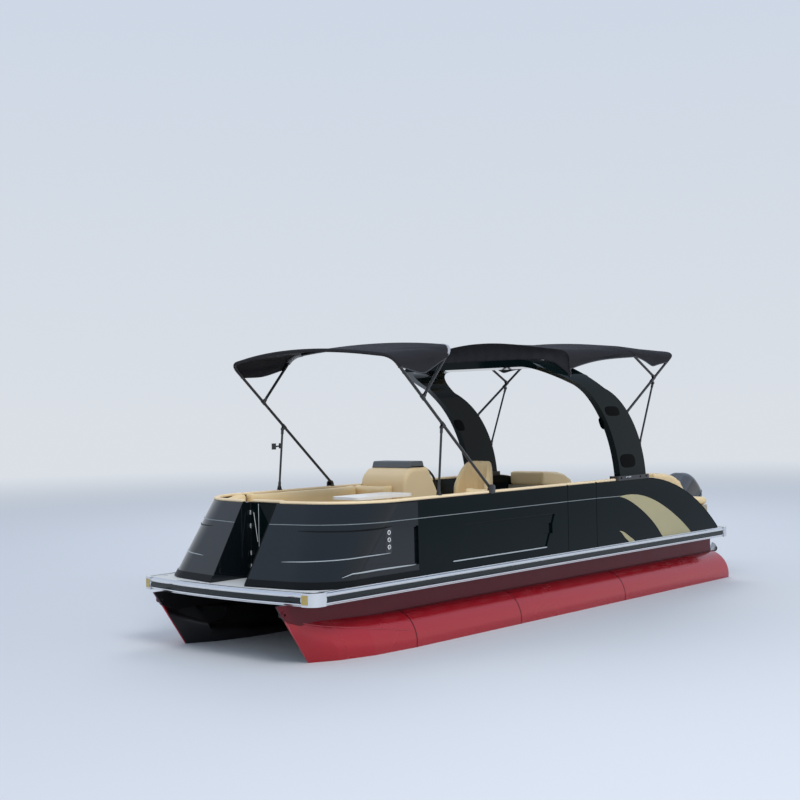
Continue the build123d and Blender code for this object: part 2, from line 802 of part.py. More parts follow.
# Collars: a plate on the fence under each arch leg, with an upstand round the leg
with BuildPart() as collars:
    for sign in (1, -1):
        middle = ((collar_ends[0] + collar_ends[1]) / 2 + aft, sign * (fence_y - arch_wall / 2))
        with BuildSketch(Plane.XY.offset(fence_top)):
            with Locations(middle):
                RectangleRounded(collar_ends[1] - collar_ends[0], arch_wall + 2 * collar_lip, collar_lip)
        extrude(amount=collar_height)
        with BuildSketch(side_plane(sign * (fence_y - arch_wall / 2))):
            with BuildLine():
                ThreePointArc(*aft_points)
                Line(aft_points[2], fore_points[2])
                ThreePointArc(*reversed(fore_points))
                Line(fore_points[0], aft_points[0])
            make_face()
            offset(amount=fit_gap)
            with Locations((aft + arch_foot[0], 0)):
                Rectangle(deck_length, arch_base, align=(Align.CENTER, Align.MIN), mode=Mode.SUBTRACT)
        extrude(amount=arch_wall / 2 + fit_gap, both=True, mode=Mode.SUBTRACT)
save(collars, "arch_collars")


def turned(vector, angle):
    """A vector in the side view, turned from x towards z."""
    a = radians(angle)
    return (vector[0] * cos(a) - vector[1] * sin(a), vector[0] * sin(a) + vector[1] * cos(a))


def hoop_plane(pivot, angle):
    """The plane of a hoop that leaves its pivots at an angle: x to port, y along the legs."""
    a = radians(angle)
    return Plane((pivot[0], 0, pivot[1]), x_dir=(0, 1, 0), z_dir=(sin(a), 0, -cos(a)))


def hoop(pivot, angle, half_width, leg, rise, radius):
    """A canopy hoop: two legs, rounded corners and a crown, with an eye at each foot."""
    plane = hoop_plane(pivot, angle)
    with BuildPart() as tube:
        with BuildLine(plane):
            path = FilletPolyline(
                (half_width, tube_start),
                (half_width, leg),
                (0, leg + rise),
                (-half_width, leg),
                (-half_width, tube_start),
                radius=[corner_bend, crown_bend, corner_bend],
            )
        with BuildSketch(Plane(path @ 0, z_dir=path % 0)):
            Circle(radius)
        sweep(path=path)
        for y in (-half_width, half_width):
            add(eye(pivot, angle, y, radius))
    return tube


def eye(pivot, angle, y, radius):
    """A flat tongue with a pin hole, at the end of a tube."""
    along = (cos(radians(angle)), 0, sin(radians(angle)))
    tongue = Plane((pivot[0], y, pivot[1]), x_dir=along, z_dir=(0, -1, 0))
    with BuildPart() as piece:
        with BuildSketch(tongue):
            Circle(eye_radius)
            Rectangle(2 * tube_start, 2 * eye_radius - 4, align=(Align.MIN, Align.CENTER))
            Circle(jaw_pin + pin_gap, mode=Mode.SUBTRACT)
        extrude(amount=eye_width / 2, both=True)
    return piece.part


def ears(pivot, y, outline, pinned=True):
    """Two ears either side of an eye, from one side outline, with a pin across them."""
    with BuildPart() as piece:
        inner = eye_width / 2 + ear_gap
        for start in (inner, -inner - ear_width):
            with BuildSketch(side_plane(y - start)):
                add(outline)
            extrude(amount=ear_width)
        with BuildSketch(side_plane(y + inner + ear_width)):
            with Locations(pivot):
                Circle(jaw_pin)
        extrude(amount=2 * (inner + ear_width), mode=Mode.ADD if pinned else Mode.SUBTRACT)
    return piece.part


def jaw(pivot, foot, angle, y, radius):
    """A jaw slide: a collar round a hoop's leg at foot, with ears that reach to the pivot."""
    with BuildPart() as piece:
        along = Plane((foot[0], y, foot[1]), z_dir=(cos(radians(angle)), 0, sin(radians(angle))))
        with BuildSketch(along):
            Circle(radius + 5)
        extrude(amount=jaw_length / 2, both=True)
        with BuildSketch() as shape:
            with Locations(foot):
                Circle(eye_radius)
            with Locations(pivot):
                Circle(eye_radius)
            make_hull()
        add(ears(pivot, y, shape.sketch))
    return piece.part


# Mount ears on the caps, for the front canopy's hoop and struts
def cap_mount(pivot, y, pinned):
    """A foot plate on the cap, with two ears."""
    with BuildPart() as piece:
        with BuildSketch(Plane.XY.offset(cap_top)):
            with Locations((pivot[0], y)):
                Rectangle(4 * eye_radius, fence_wall)
        extrude(amount=ear_width)
        with BuildSketch() as shape:
            with Locations(pivot):
                Circle(eye_radius)
            with Locations((pivot[0], cap_top)):
                Rectangle(3 * eye_radius, ear_width, align=(Align.CENTER, Align.MIN))
            make_hull()
        add(ears(pivot, y, shape.sketch, pinned))
    return piece.part


def strut(pivot, foot, y):
    """A straight tube between two eyes."""
    length = hypot(foot[0] - pivot[0], foot[1] - pivot[1])
    angle = degrees(atan2(foot[1] - pivot[1], foot[0] - pivot[0]))
    start = (pivot[0] + tube_start * cos(radians(angle)), y, pivot[1] + tube_start * sin(radians(angle)))
    with BuildPart() as piece:
        with BuildSketch(Plane(start, z_dir=(cos(radians(angle)), 0, sin(radians(angle))))):
            Circle(strut_tube)
        extrude(amount=length - 2 * tube_start)
        add(eye(pivot, angle, y, strut_tube))
        add(eye(foot, angle + 180, y, strut_tube))
    return piece.part


def canvas_band(half_width, leg, rise, drape, lift):
    """The canvas's section over one hoop, in the hoop's plane, lifted off the tube's middle."""
    slope = atan2(rise, half_width)
    rims = []
    for out in (lift + canvas, lift):
        eaves = leg + out / cos(slope) - out * tan(slope)
        crown = leg + rise + out / cos(slope)
        low = leg - drape
        side = half_width + out
        bends = [corner_bend + out, crown_bend + out, corner_bend + out]
        points = [(side, low), (side, eaves), (0, crown), (-side, eaves), (-side, low)]
        rims.append((points, bends))
    (outer, outer_bends), (inner, inner_bends) = rims
    with BuildSketch() as band:
        with BuildLine():
            FilletPolyline(*outer, radius=outer_bends)
            Line(outer[-1], inner[-1])
            FilletPolyline(*reversed(inner), radius=inner_bends)
            Line(inner[0], outer[0])
        make_face()
    return band.sketch


def lift_over(angle, *chords):
    """How far out of the tube's middle the canvas crosses a hoop's plane, so that it clears the tube."""
    return (bow_tube + canvas_gap) / min(abs(sin(radians(angle - chord))) for chord in chords)


def edge_point(points, height, reach):
    """A point out of an arc's hollow-side edge at a height, given the arc's three points."""
    (x1, z1), (x2, z2), (x3, z3) = points
    d = 2 * (x1 * (z2 - z3) + x2 * (z3 - z1) + x3 * (z1 - z2))
    q1, q2, q3 = (x * x + z * z for x, z in points)
    cx = (q1 * (z2 - z3) + q2 * (z3 - z1) + q3 * (z1 - z2)) / d
    cz = (q1 * (x3 - x2) + q2 * (x1 - x3) + q3 * (x2 - x1)) / d
    radius = hypot(x1 - cx, z1 - cz) + reach
    edge = hypot(x1 - cx, z1 - cz)
    x = cx - sqrt(edge**2 - (height - cz) ** 2)
    return (cx + (x - cx) * radius / edge, cz + (height - cz) * radius / edge)


def direction(start, end):
    return degrees(atan2(end[1] - start[1], end[0] - start[0]))


def canopy_frame(name, mount, corner, rise, jaw_at, second_corner, second_rise, strut_at, strut_foot, y, lean):
    """Main hoop, second hoop and struts of one canopy; lean is the side of the hoop the second one is on."""
    pivot = placed(mount)
    angle = direction(mount, corner)
    leg = hypot(corner[0] - mount[0], corner[1] - mount[1])
    along = turned((1, 0), angle)
    across = turned((1, 0), angle + 90 * lean)
    second_foot = (pivot[0] + jaw_at * along[0], pivot[1] + jaw_at * along[1])
    second_pivot = (second_foot[0] + jaw_offset * across[0], second_foot[1] + jaw_offset * across[1])
    strut_from = (pivot[0] + strut_at * along[0], pivot[1] + strut_at * along[1])
    strut_pivot = (strut_from[0] - jaw_offset * across[0], strut_from[1] - jaw_offset * across[1])
    second_end = placed(second_corner)
    second_angle = direction(second_pivot, second_end)
    second_leg = hypot(second_end[0] - second_pivot[0], second_end[1] - second_pivot[1])
    foot = placed(strut_foot)

    with BuildPart() as main:
        add(hoop(pivot, angle, y, leg, rise, bow_tube).part)
        for side_y in (-y, y):
            add(jaw(second_pivot, second_foot, angle, side_y, bow_tube))
            add(jaw(strut_pivot, strut_from, angle, side_y, bow_tube))
    save(main, f"{name}_canopy_hoop")
    save(hoop(second_pivot, second_angle, y, second_leg, second_rise, bow_tube), f"{name}_canopy_second_hoop")
    with BuildPart() as struts:
        for side_y in (-y, y):
            add(strut(strut_pivot, foot, side_y))
    save(struts, f"{name}_canopy_struts")
    return (pivot, angle, leg), (second_pivot, second_angle, second_leg)


front_main, front_second = canopy_frame(
    "front", front_mount, front_corner, front_rise, front_jaw, front_second_corner, front_second_rise,
    front_strut_jaw, front_strut_foot, fence_middle, 1,
)
rear_mount = edge_point(arch_aft_edge, rear_mount_height, rear_mount_reach)
rear_strut_foot = edge_point(arch_aft_edge, rear_strut_height, rear_mount_reach)
rear_main, rear_second = canopy_frame(
    "rear", rear_mount, rear_corner, rear_rise, rear_jaw, rear_second_corner, rear_second_rise,
    rear_strut_jaw, rear_strut_foot, rear_y, -1,
)

with BuildPart() as front_mounts:
    for side_y in (-fence_middle, fence_middle):
        add(cap_mount(placed(front_mount), side_y, True))
        add(cap_mount(placed(front_strut_foot), side_y, False))

# Rear mounts: ears out of the arch's aft edge
with BuildPart() as rear_mounts:
    for point, pinned in ((placed(rear_mount), True), (placed(rear_strut_foot), False)):
        for side_y in (-rear_y, rear_y):
            with BuildSketch() as shape:
                with Locations(point):
                    Circle(eye_radius)
                with Locations((point[0] + 4 * eye_radius, point[1] - eye_radius)):
                    Circle(eye_radius)
                make_hull()
            add(ears(point, side_y, shape.sketch, pinned))
    add(arch.part, mode=Mode.SUBTRACT)
    add(front_mounts.part)
save(rear_mounts, "canopy_mounts")

# Canopies: the canvas stretched over the hoops
front_chord = direction(front_corner, front_second_corner)
with BuildPart() as front_canopy:
    for (pivot, angle, leg), rise in ((front_main, front_rise), (front_second, front_second_rise)):
        with BuildSketch(hoop_plane(pivot, angle)):
            add(canvas_band(fence_middle, leg, rise, front_drape, lift_over(angle, front_chord)))
    loft(ruled=True)
save(front_canopy, "front_canopy")

arch_edge = (arch_crown[0], arch_top)
rear_chords = (direction(rear_second_corner, rear_corner), direction(arch_edge, rear_second_corner))
with BuildPart() as rear_canopy:
    with BuildSketch(Plane.YZ.offset(aft + arch_crown[0])):
        add(canvas_band(rear_y - rear_front_inset, arch_top, rear_front_rise, rear_drape, canvas_gap))
    for (pivot, angle, leg), rise, chords in (
        (rear_second, rear_second_rise, rear_chords),
        (rear_main, rear_rise, rear_chords[:1]),
    ):
        with BuildSketch(hoop_plane(pivot, angle)):
            add(canvas_band(rear_y, leg, rise, rear_drape, lift_over(angle, *chords)))
    loft(ruled=True)
save(rear_canopy, "rear_canopy")


def cushion(outline, plane, width, rounding):
    """A soft block: a side outline with a width, all its edges rounded."""
    with BuildPart() as piece:
        with BuildSketch(plane):
            add(outline)
        extrude(amount=width)
        fillet(piece.edges(), rounding)
    return piece.part


# Bow lounges, one each side: a base, a seat, a back along the fence and a chaise back
seat_z = deck_top + seat_base_height
seat_top = seat_z + seat_cushion
lounge_width = lounge_outer - lounge_inner
lounge_middle = (lounge_outer + lounge_inner) / 2
stern_seat = (stern_lounge_ends[0], stern_seat_end)
slope = [(stern_seat_end + x, seat_z + z) for x, z in rest_slope]
rest = [(stern_seat_end + x, seat_z + z) for x, z in rest_top]
seat_edge = {"out": -fence_wall - lounge_set_in, "seam": 0}


def lounge_plan(inner, rounding, height):
    """Plan of the port bow lounge: its fore end follows the fence's curve at a height."""
    with BuildSketch() as plan:
        with Locations((aft + lounge_ends[0], inner)):
            Rectangle(lounge_ends[1] - lounge_ends[0], lounge_outer - inner, align=Align.MIN)
        add(bow_block(*bow_level(height), **seat_edge), mode=Mode.INTERSECT)
        ends = plan.vertices().group_by(Axis.X)
        fillet(ends[0] + ends[-1], rounding)
    return plan.sketch


with BuildPart() as lounge_bases:
    with BuildSketch(Plane.XY.offset(deck_top)):
        add(lounge_plan(lounge_inner + base_set_in, base_round, seat_z))
    extrude(amount=seat_base_height)
    mirror(about=Plane.XZ)
save(lounge_bases, "lounge_bases")

chaise_front = lounge_ends[0] + chaise_back
back_heights = (seat_top + soft_gap, lounge_back_top)
with BuildPart() as lounge_cushions:
    with BuildSketch(Plane.XY.offset(seat_z)):
        add(lounge_plan(lounge_inner, base_round, seat_top))
    extrude(amount=seat_cushion)
    fillet(lounge_cushions.faces().filter_by(Axis.Z).edges(), cushion_round)
    across = side_plane(lounge_middle + lounge_width / 2)
    # stations, width
    for stations, width in (
        ((chaise_front + soft_gap, lounge_back_end), lounge_back),
        ((lounge_ends[0], chaise_front), lounge_width),
    ):
        add(cushion(rectangle_between(stations, back_heights), across, width, cushion_round))
    mirror(about=Plane.XZ)
save(lounge_cushions, "lounge_cushions")

# Backs in the bow's corners, curved along the fence and leaning with it
with BuildPart() as corner_backs:
    add(bow_shell(
        back_heights[0],
        corner_back_top,
        bow_wall,
        out=-fence_wall - soft_gap,
        wall=corner_back,
        seam=lounge_back_end + soft_gap,
    ))
    with BuildSketch(Plane.XY):
        with Locations((aft, corner_back_end)):
            Rectangle(2 * deck_length, fence_y, align=(Align.CENTER, Align.MIN))
    extrude(amount=corner_back_top, mode=Mode.INTERSECT)
    mirror(about=Plane.XZ)
save(corner_backs, "bow_corner_backs")

# Stern lounges, facing aft: a seat, and a long rest that slopes up to the fence's height
stern_base_end = stern_lounge_ends[0] + 2 * base_set_in
stern_base_outline = (
    (stern_base_end, deck_top),
    (slope[-1][0], deck_top),
    *reversed(slope),
    (stern_base_end, seat_z),
)
with BuildPart() as stern_bases:
    for sign in (1, -1):
        with BuildSketch(side_plane(sign * lounge_middle)):
            add(polygon(*(placed(point) for point in stern_base_outline)))
        extrude(amount=lounge_width / 2, both=True)
save(stern_bases, "stern_bases")

lifted = [(x, z + 3 * soft_gap) for x, z in slope]
low_front = (lifted[0][0] + cushion_round, lifted[0][1] + cushion_round)
with BuildPart() as stern_cushions:
    for sign in (1, -1):
        across = side_plane(sign * lounge_middle + lounge_width / 2)
        add(cushion(rectangle_between(stern_seat, (seat_z, seat_top)), across, lounge_width, cushion_round))
        with BuildSketch(across) as profile:
            add(polygon(*(placed(point) for point in (low_front, *lifted[1:], *rest))))
            fillet(profile.vertices(), cushion_round / 3)
        extrude(amount=lounge_width)
save(stern_cushions, "stern_cushions")

# Helm console with the wheel's column, dash hood and steering wheel
face_low, face_high = placed(console_outline[5]), placed(console_outline[4])
axis_out = turned((1, 0), direction(face_low, face_high) + 90)
face_middle = ((face_low[0] + face_high[0]) / 2, (face_low[1] + face_high[1]) / 2)
wheel_centre = (face_middle[0] + wheel_reach * axis_out[0], wheel_y, face_middle[1] + wheel_reach * axis_out[1])
wheel_plane = Plane(wheel_centre, x_dir=(0, 1, 0), z_dir=(axis_out[0], 0, axis_out[1]))
with BuildPart() as console:
    with BuildSketch(side_plane(console_y[1])) as profile:
        add(polygon(*(placed(point) for point in console_outline)))
        fillet(profile.vertices().group_by(Axis.Y)[-1], console_round)
    extrude(amount=console_y[1] - console_y[0])
    raised = console.faces().filter_by(Axis.Y).edges().group_by(Axis.Z)[1:]
    fillet([edge for level in raised for edge in level], console_round)
    with BuildSketch(wheel_plane.offset(wheel_rim)):
        Circle(wheel_shaft)
    extrude(amount=-wheel_reach - 2 * wheel_rim)
save(console, "helm_console")
with BuildPart() as dash:
    with BuildSketch(side_plane(console_y[1] - dash_set_in)):
        add(polygon(
            *(placed(point) for point in (
                (dash_ends[0], console_outline[3][1]), (dash_ends[1], console_outline[3][1]),
                (dash_ends[1] - 90, console_outline[3][1] + dash_height),
                (dash_ends[0] + 20, console_outline[3][1] + dash_height),
            ))
        ))
    extrude(amount=console_y[1] - console_y[0] - 2 * dash_set_in)
save(dash, "helm_dash")
with BuildPart() as steering_wheel:
    with BuildSketch(Plane(wheel_centre, x_dir=wheel_plane.z_dir, z_dir=(0, 1, 0))):
        with Locations((0, wheel_radius)):
            Circle(wheel_rim)
    revolve(axis=Axis(wheel_centre, wheel_plane.z_dir))
    with BuildSketch(wheel_plane.offset(-wheel_spoke_depth)):
        Circle(wheel_hub)
        with PolarLocations(0, 3, start_angle=30):
            Rectangle(wheel_radius, 2 * wheel_rim, align=(Align.MIN, Align.CENTER))
    extrude(amount=wheel_rim)
    with BuildSketch(wheel_plane.offset(-wheel_spoke_depth)):
        Circle(wheel_shaft + pin_gap)
    extrude(amount=2 * wheel_rim, mode=Mode.SUBTRACT)
save(steering_wheel, "steering_wheel")

# Captain's chair: a fixed post, a turning frame and a wrap-round bucket
chair = (aft + chair_station, chair_y)
with BuildPart() as post:
    for low, high, radius in (
        (deck_top, deck_top + 12, chair_foot),
        (deck_top, seat_z, chair_post),
        (seat_z, seat_z + 30, chair_spigot),
    ):
        with BuildSketch(Plane.XY.offset(low)):
            with Locations(chair):
                Circle(radius)
        extrude(amount=high - low)
save(post, "chair_post")
with BuildPart() as chair_frame:
    with BuildSketch(Plane.XY.offset(seat_z + fit_gap)):
        with Locations(chair):
            RectangleRounded(1.6 * chair_pad, 1.6 * chair_pad, chair_post)
            Circle(chair_spigot + pin_gap, mode=Mode.SUBTRACT)
    extrude(amount=40)
save(chair_frame, "chair_frame")
with BuildPart() as chair_bucket:
    with BuildSketch(Plane.XY.offset(seat_z + 40 + 2 * fit_gap)):
        with Locations(chair):
            Circle(chair_radius)
    extrude(amount=seat_cushion)
    with BuildSketch(Plane.XY.offset(seat_z + 40 + seat_cushion)):
        with Locations(chair):
            Circle(chair_radius)
            Circle(chair_pad, mode=Mode.SUBTRACT)
        with Locations((chair[0] + chair_radius / 4, chair[1])):
            Rectangle(2 * chair_radius, 2 * chair_radius, align=(Align.MIN, Align.CENTER), mode=Mode.SUBTRACT)
    extrude(amount=chair_top - seat_z - 40 - seat_cushion)
save(chair_bucket, "chair_bucket")

# Table on a post by the port lounge
post_at = (aft + table_centre[0], table_centre[1] - table_post - 20)
with BuildPart() as table:
    with BuildSketch(Plane.XY.offset(table_top - table_thickness)):
        with Locations((aft + table_centre[0], table_centre[1])):
            RectangleRounded(*table_size, 90)
    extrude(amount=table_thickness)
    for low, high, radius in (
        (deck_top, deck_top + 10, 3 * table_post),
        (deck_top, table_top - 10, table_post),
    ):
        with BuildSketch(Plane.XY.offset(low)):
            with Locations(post_at):
                Circle(radius)
        extrude(amount=high - low)
save(table, "bow_table")

# Engine pod: a narrow V-bottomed hull under the aft deck, with a well ahead of its transom board
lean = radians(transom_lean)
transom_foot_x = transom_head[0] + (transom_head[1] - pod_floor) * tan(lean)
with BuildPart() as pod:
    with BuildSketch(side_plane(0)):
        add(polygon(*(placed(point) for point in (
            (pod_fore, riser_top), *pod_well, (transom_head[0] + transom_board, transom_head[1]), transom_head,
            (transom_foot_x, pod_floor), (pod_fore - (riser_top - pod_floor), pod_floor),
        ))))
    extrude(amount=pod_half, both=True)
    with BuildSketch(Plane.YZ.offset(aft + 2 * transom_head[0])):
        add(polygon(
            (pod_half, riser_top),
            (-pod_half, riser_top),
            (-pod_half, pod_chine),
            (0, pod_floor),
            (pod_half, pod_chine),
        ))
    extrude(amount=pod_fore - 3 * transom_head[0], mode=Mode.INTERSECT)
save(pod, "engine_pod")

# Clamp brackets hooked over the transom, joined by the tilt pin
pin_at = placed(tilt_axis)
transom_low = (transom_head[0] + clamp_length * sin(lean), transom_head[1] - clamp_length * cos(lean))
with BuildPart() as clamps:
    for y in (clamp_y[1], -clamp_y[0]):
        with BuildSketch(side_plane(y)):
            with Locations(pin_at):
                Circle(tilt_eye)
            add(polygon(*(placed(point) for point in (
                transom_low, transom_head, (transom_head[0] + transom_board, transom_head[1]),
                (pod_well[-1][0] - 6, pod_well[-1][1] + 60), (pod_well[-1][0] + 12, pod_well[-1][1] + 60),
                (pod_well[-1][0] + 12, transom_head[1] + 36), (tilt_axis[0], tilt_axis[1] + tilt_eye),
                (tilt_axis[0] - tilt_eye, tilt_axis[1]),
                (transom_low[0] - clamp_depth * cos(lean), transom_low[1] - clamp_depth * sin(lean)),
            ))))
        extrude(amount=clamp_y[1] - clamp_y[0])
    with BuildSketch(side_plane(clamp_y[1])):
        with Locations(pin_at):
            Circle(tilt_pin)
    extrude(amount=2 * clamp_y[1])
save(clamps, "motor_clamps")

motor_up = (sin(radians(rest_tilt)), 0, cos(radians(rest_tilt)))
motor_fore = (motor_up[2], 0, -motor_up[0])


def motor_side(y):
    """The motor's own side view: x forward and y up from the tilt axis."""
    return Plane((pin_at[0], y, pin_at[1]), x_dir=motor_fore, z_dir=(0, -1, 0))


def motor_level(height):
    """The motor's own plan view at a height above the tilt axis: x forward, y to port."""
    origin = (pin_at[0] + height * motor_up[0], 0, pin_at[1] + height * motor_up[2])
    return Plane(origin, x_dir=motor_fore, z_dir=motor_up)


sleeve_radius, sleeve_low, sleeve_high = sleeve
with BuildPart() as swivel:
    with BuildSketch(motor_side(swivel_half)):
        Circle(tilt_eye)
        with Locations((-steer_setback, -arm_drop)):
            Circle(tilt_eye)
        make_hull()
    extrude(amount=2 * swivel_half)
    with BuildSketch(motor_side(swivel_half)):
        Circle(tilt_pin + pin_gap)
    extrude(amount=2 * swivel_half, mode=Mode.SUBTRACT)
    with BuildSketch(motor_level(sleeve_low)):
        with Locations((-steer_setback, 0)):
            Circle(sleeve_radius)
    extrude(amount=sleeve_high - sleeve_low)
    with BuildSketch(motor_level(sleeve_low)):
        with Locations((-steer_setback, 0)):
            Circle(steer_shaft + pin_gap)
    extrude(amount=sleeve_high - sleeve_low + 2 * tilt_eye, mode=Mode.SUBTRACT)
save(swivel, "motor_swivel")

upper_yoke = sleeve_high + yoke_gap
lower_yoke = sleeve_low - yoke_gap - yoke_height
with BuildPart() as midsection:
    for length, width, height in column:
        with BuildSketch(motor_level(height)):
            with Locations((-column_setback, 0)):
                SlotOverall(length, width)
    loft(ruled=True)
    for height in (upper_yoke, lower_yoke):
        with BuildSketch(motor_level(height)):
            with Locations((-steer_setback, 0)):
                Circle(sleeve_radius)
            with Locations((-column_setback, 0)):
                Circle(sleeve_radius)
            make_hull()
        extrude(amount=yoke_height)
    with BuildSketch(motor_level(lower_yoke)):
        with Locations((-steer_setback, 0)):
            Circle(steer_shaft)
    extrude(amount=upper_yoke + yoke_height - lower_yoke)
save(midsection, "motor_midsection")

# Gearcase: a tapered strut on a torpedo, which carries the propeller's shaft and its nut
hub_radius, hub_tail_radius, hub_fore, hub_aft = prop_hub
nose_at, nose_ball = gearcase[-1]
shaft_line = Axis(motor_level(-prop_drop).origin, motor_fore)
with BuildPart() as lower_unit:
    for length, width, height in (column[1], blade_strut):
        with BuildSketch(motor_level(height)):
            with Locations((-column_setback, 0)):
                SlotOverall(length, width)
    loft(ruled=True)
    with BuildSketch(motor_level(-prop_drop)):
        with BuildLine():
            Polyline(
                (nose_at + nose_ball, 0),
                (hub_aft - nut_length, 0),
                (hub_aft - nut_length, nut_radius),
                (hub_aft - 1, nut_radius),
                (hub_aft - 1, prop_shaft),
                (gearcase[0][0], prop_shaft),
                *gearcase,
            )
            CenterArc((nose_at, 0), nose_ball, 90, -90)
        make_face()
    revolve(axis=shaft_line)
    with BuildSketch(motor_level(-plate_drop)):
        with Locations((-column_setback - 90, 0)):
            RectangleRounded(*cavitation_plate, cavitation_plate[1] / 2 - 10)
    extrude(amount=plate_thickness)
    with BuildSketch(motor_side(skeg_thickness / 2)):
        add(polygon(*skeg))
    extrude(amount=skeg_thickness)
save(lower_unit, "motor_gearcase")

with BuildPart() as cowl:
    for height, front, back, half, rounding in cowl_sections:
        with BuildSketch(motor_level(height)):
            with Locations(((front + back) / 2, 0)):
                RectangleRounded(front - back, 2 * half, rounding)
    loft()
save(cowl, "motor_cowl")

# Propeller: a tapered hub with pitched blades
hub_middle = motor_side(0).from_local_coords(((hub_fore + hub_aft) / 2, -prop_drop, 0))
with BuildPart() as blade:
    for distance, chord, thickness in blade_sections:
        pitch = atan2(prop_pitch, 2 * pi * distance)
        origin = [m + distance * u for m, u in zip(hub_middle, motor_up)]
        chord_line = (sin(pitch) * motor_fore[0], cos(pitch), sin(pitch) * motor_fore[2])
        with BuildSketch(Plane(origin, x_dir=chord_line, z_dir=motor_up)):
            add(lens(chord / 2, thickness / 2), rotation=90)
    loft()
with BuildPart() as propeller:
    with BuildSketch(motor_level(-prop_drop)):
        add(polygon(
            (hub_fore, prop_shaft + pin_gap),
            (hub_fore, hub_radius),
            (hub_aft, hub_tail_radius),
            (hub_aft, prop_shaft + pin_gap),
        ))
    revolve(axis=shaft_line)
    for turn in range(60, 420, 360 // blade_count):
        add(blade.part.rotate(shaft_line, turn))
save(propeller, "propeller")
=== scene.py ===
from math import atan2, cos, pi, radians, sin, tan

import bmesh
import bpy
import numpy as np
from mathutils import Matrix, Vector
from mathutils.bvhtree import BVHTree


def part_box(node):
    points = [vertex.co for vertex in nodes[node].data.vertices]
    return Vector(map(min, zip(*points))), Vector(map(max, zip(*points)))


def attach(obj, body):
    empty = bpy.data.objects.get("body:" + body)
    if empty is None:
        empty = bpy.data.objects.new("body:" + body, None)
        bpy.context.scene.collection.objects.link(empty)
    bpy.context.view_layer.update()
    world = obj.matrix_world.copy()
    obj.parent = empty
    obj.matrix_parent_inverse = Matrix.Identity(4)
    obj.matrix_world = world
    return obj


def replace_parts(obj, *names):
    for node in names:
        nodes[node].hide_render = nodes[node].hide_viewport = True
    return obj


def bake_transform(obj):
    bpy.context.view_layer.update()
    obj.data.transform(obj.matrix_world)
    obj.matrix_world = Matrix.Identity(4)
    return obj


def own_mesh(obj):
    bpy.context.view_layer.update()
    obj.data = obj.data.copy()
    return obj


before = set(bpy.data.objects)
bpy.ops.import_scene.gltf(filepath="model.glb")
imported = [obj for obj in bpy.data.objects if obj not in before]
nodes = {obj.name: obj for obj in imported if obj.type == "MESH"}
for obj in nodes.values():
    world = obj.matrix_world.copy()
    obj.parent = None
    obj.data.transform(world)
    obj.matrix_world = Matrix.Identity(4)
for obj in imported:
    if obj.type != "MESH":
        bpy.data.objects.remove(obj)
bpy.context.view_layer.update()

# Stations run forward from the deck's aft edge, and heights up from the keels, in metres.
# The boat floats with its waterline 0.27 m above the keels.
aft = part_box("deck")[0].x - 0.04
waterline = 0.27


# Floats and risers: round aluminium tubes rolled in lengths and welded end to end, in a metallic dark red,
# with plain channels along their tops. The risers are a darker red as painted shade under the deck, and the
# inboard sides of both are near black as painted shade between the floats.
def shader_group(name, sockets):
    """An empty shader group with the named sockets, and its input and output nodes."""
    group = bpy.data.node_groups.new(name, "ShaderNodeTree")
    for socket_name, direction, kind, value in sockets:
        socket = group.interface.new_socket(socket_name, in_out=direction, socket_type=kind)
        if value is not None:
            socket.default_value = value
    return group, group.nodes.new("NodeGroupInput"), group.nodes.new("NodeGroupOutput")


def arithmetic(group, operation, *values):
    """A maths node; each value is a number or another node's output. Its output."""
    node = group.nodes.new("ShaderNodeMath")
    node.operation = operation
    for socket, value in zip(node.inputs, values):
        if isinstance(value, (int, float)):
            socket.default_value = value
        else:
            group.links.new(value, socket)
    return node.outputs[0]


def uneven_finish():
    """Shader group for a real, slightly uneven surface: a coarse noise shifts lightness and gloss, and a fine
    noise gives a height for bump."""
    group, inside, outside = shader_group("Uneven finish", (
        ("Color", "INPUT", "NodeSocketColor", (0.5, 0.5, 0.5, 1)),
        ("Gloss roughness", "INPUT", "NodeSocketFloat", 0.4),
        ("Patch scale", "INPUT", "NodeSocketFloat", 3.0),
        ("Patch depth", "INPUT", "NodeSocketFloat", 0.1),
        ("Grain scale", "INPUT", "NodeSocketFloat", 400.0),
        ("Color", "OUTPUT", "NodeSocketColor", None),
        ("Roughness", "OUTPUT", "NodeSocketFloat", None),
        ("Grain height", "OUTPUT", "NodeSocketFloat", None),
    ))
    new, link = group.nodes.new, group.links.new
    place = new("ShaderNodeTexCoord")
    patches, grain = new("ShaderNodeTexNoise"), new("ShaderNodeTexNoise")
    patches.inputs["Detail"].default_value = 5
    grain.inputs["Detail"].default_value = 2
    for noise, scale in ((patches, "Patch scale"), (grain, "Grain scale")):
        link(place.outputs["Object"], noise.inputs["Vector"])
        link(inside.outputs[scale], noise.inputs["Scale"])
    centred = arithmetic(group, "SUBTRACT", patches.outputs["Fac"], 0.5)
    depth = arithmetic(group, "MULTIPLY", centred, inside.outputs["Patch depth"])
    tone = new("ShaderNodeVectorMath")
    tone.operation = "SCALE"
    link(inside.outputs["Color"], tone.inputs[0])
    link(arithmetic(group, "ADD", depth, 1.0), tone.inputs["Scale"])
    rough = arithmetic(group, "MULTIPLY_ADD", depth, 0.6, inside.outputs["Gloss roughness"])
    link(tone.outputs[0], outside.inputs["Color"])
    link(rough, outside.inputs["Roughness"])
    link(grain.outputs["Fac"], outside.inputs["Grain height"])
    return group


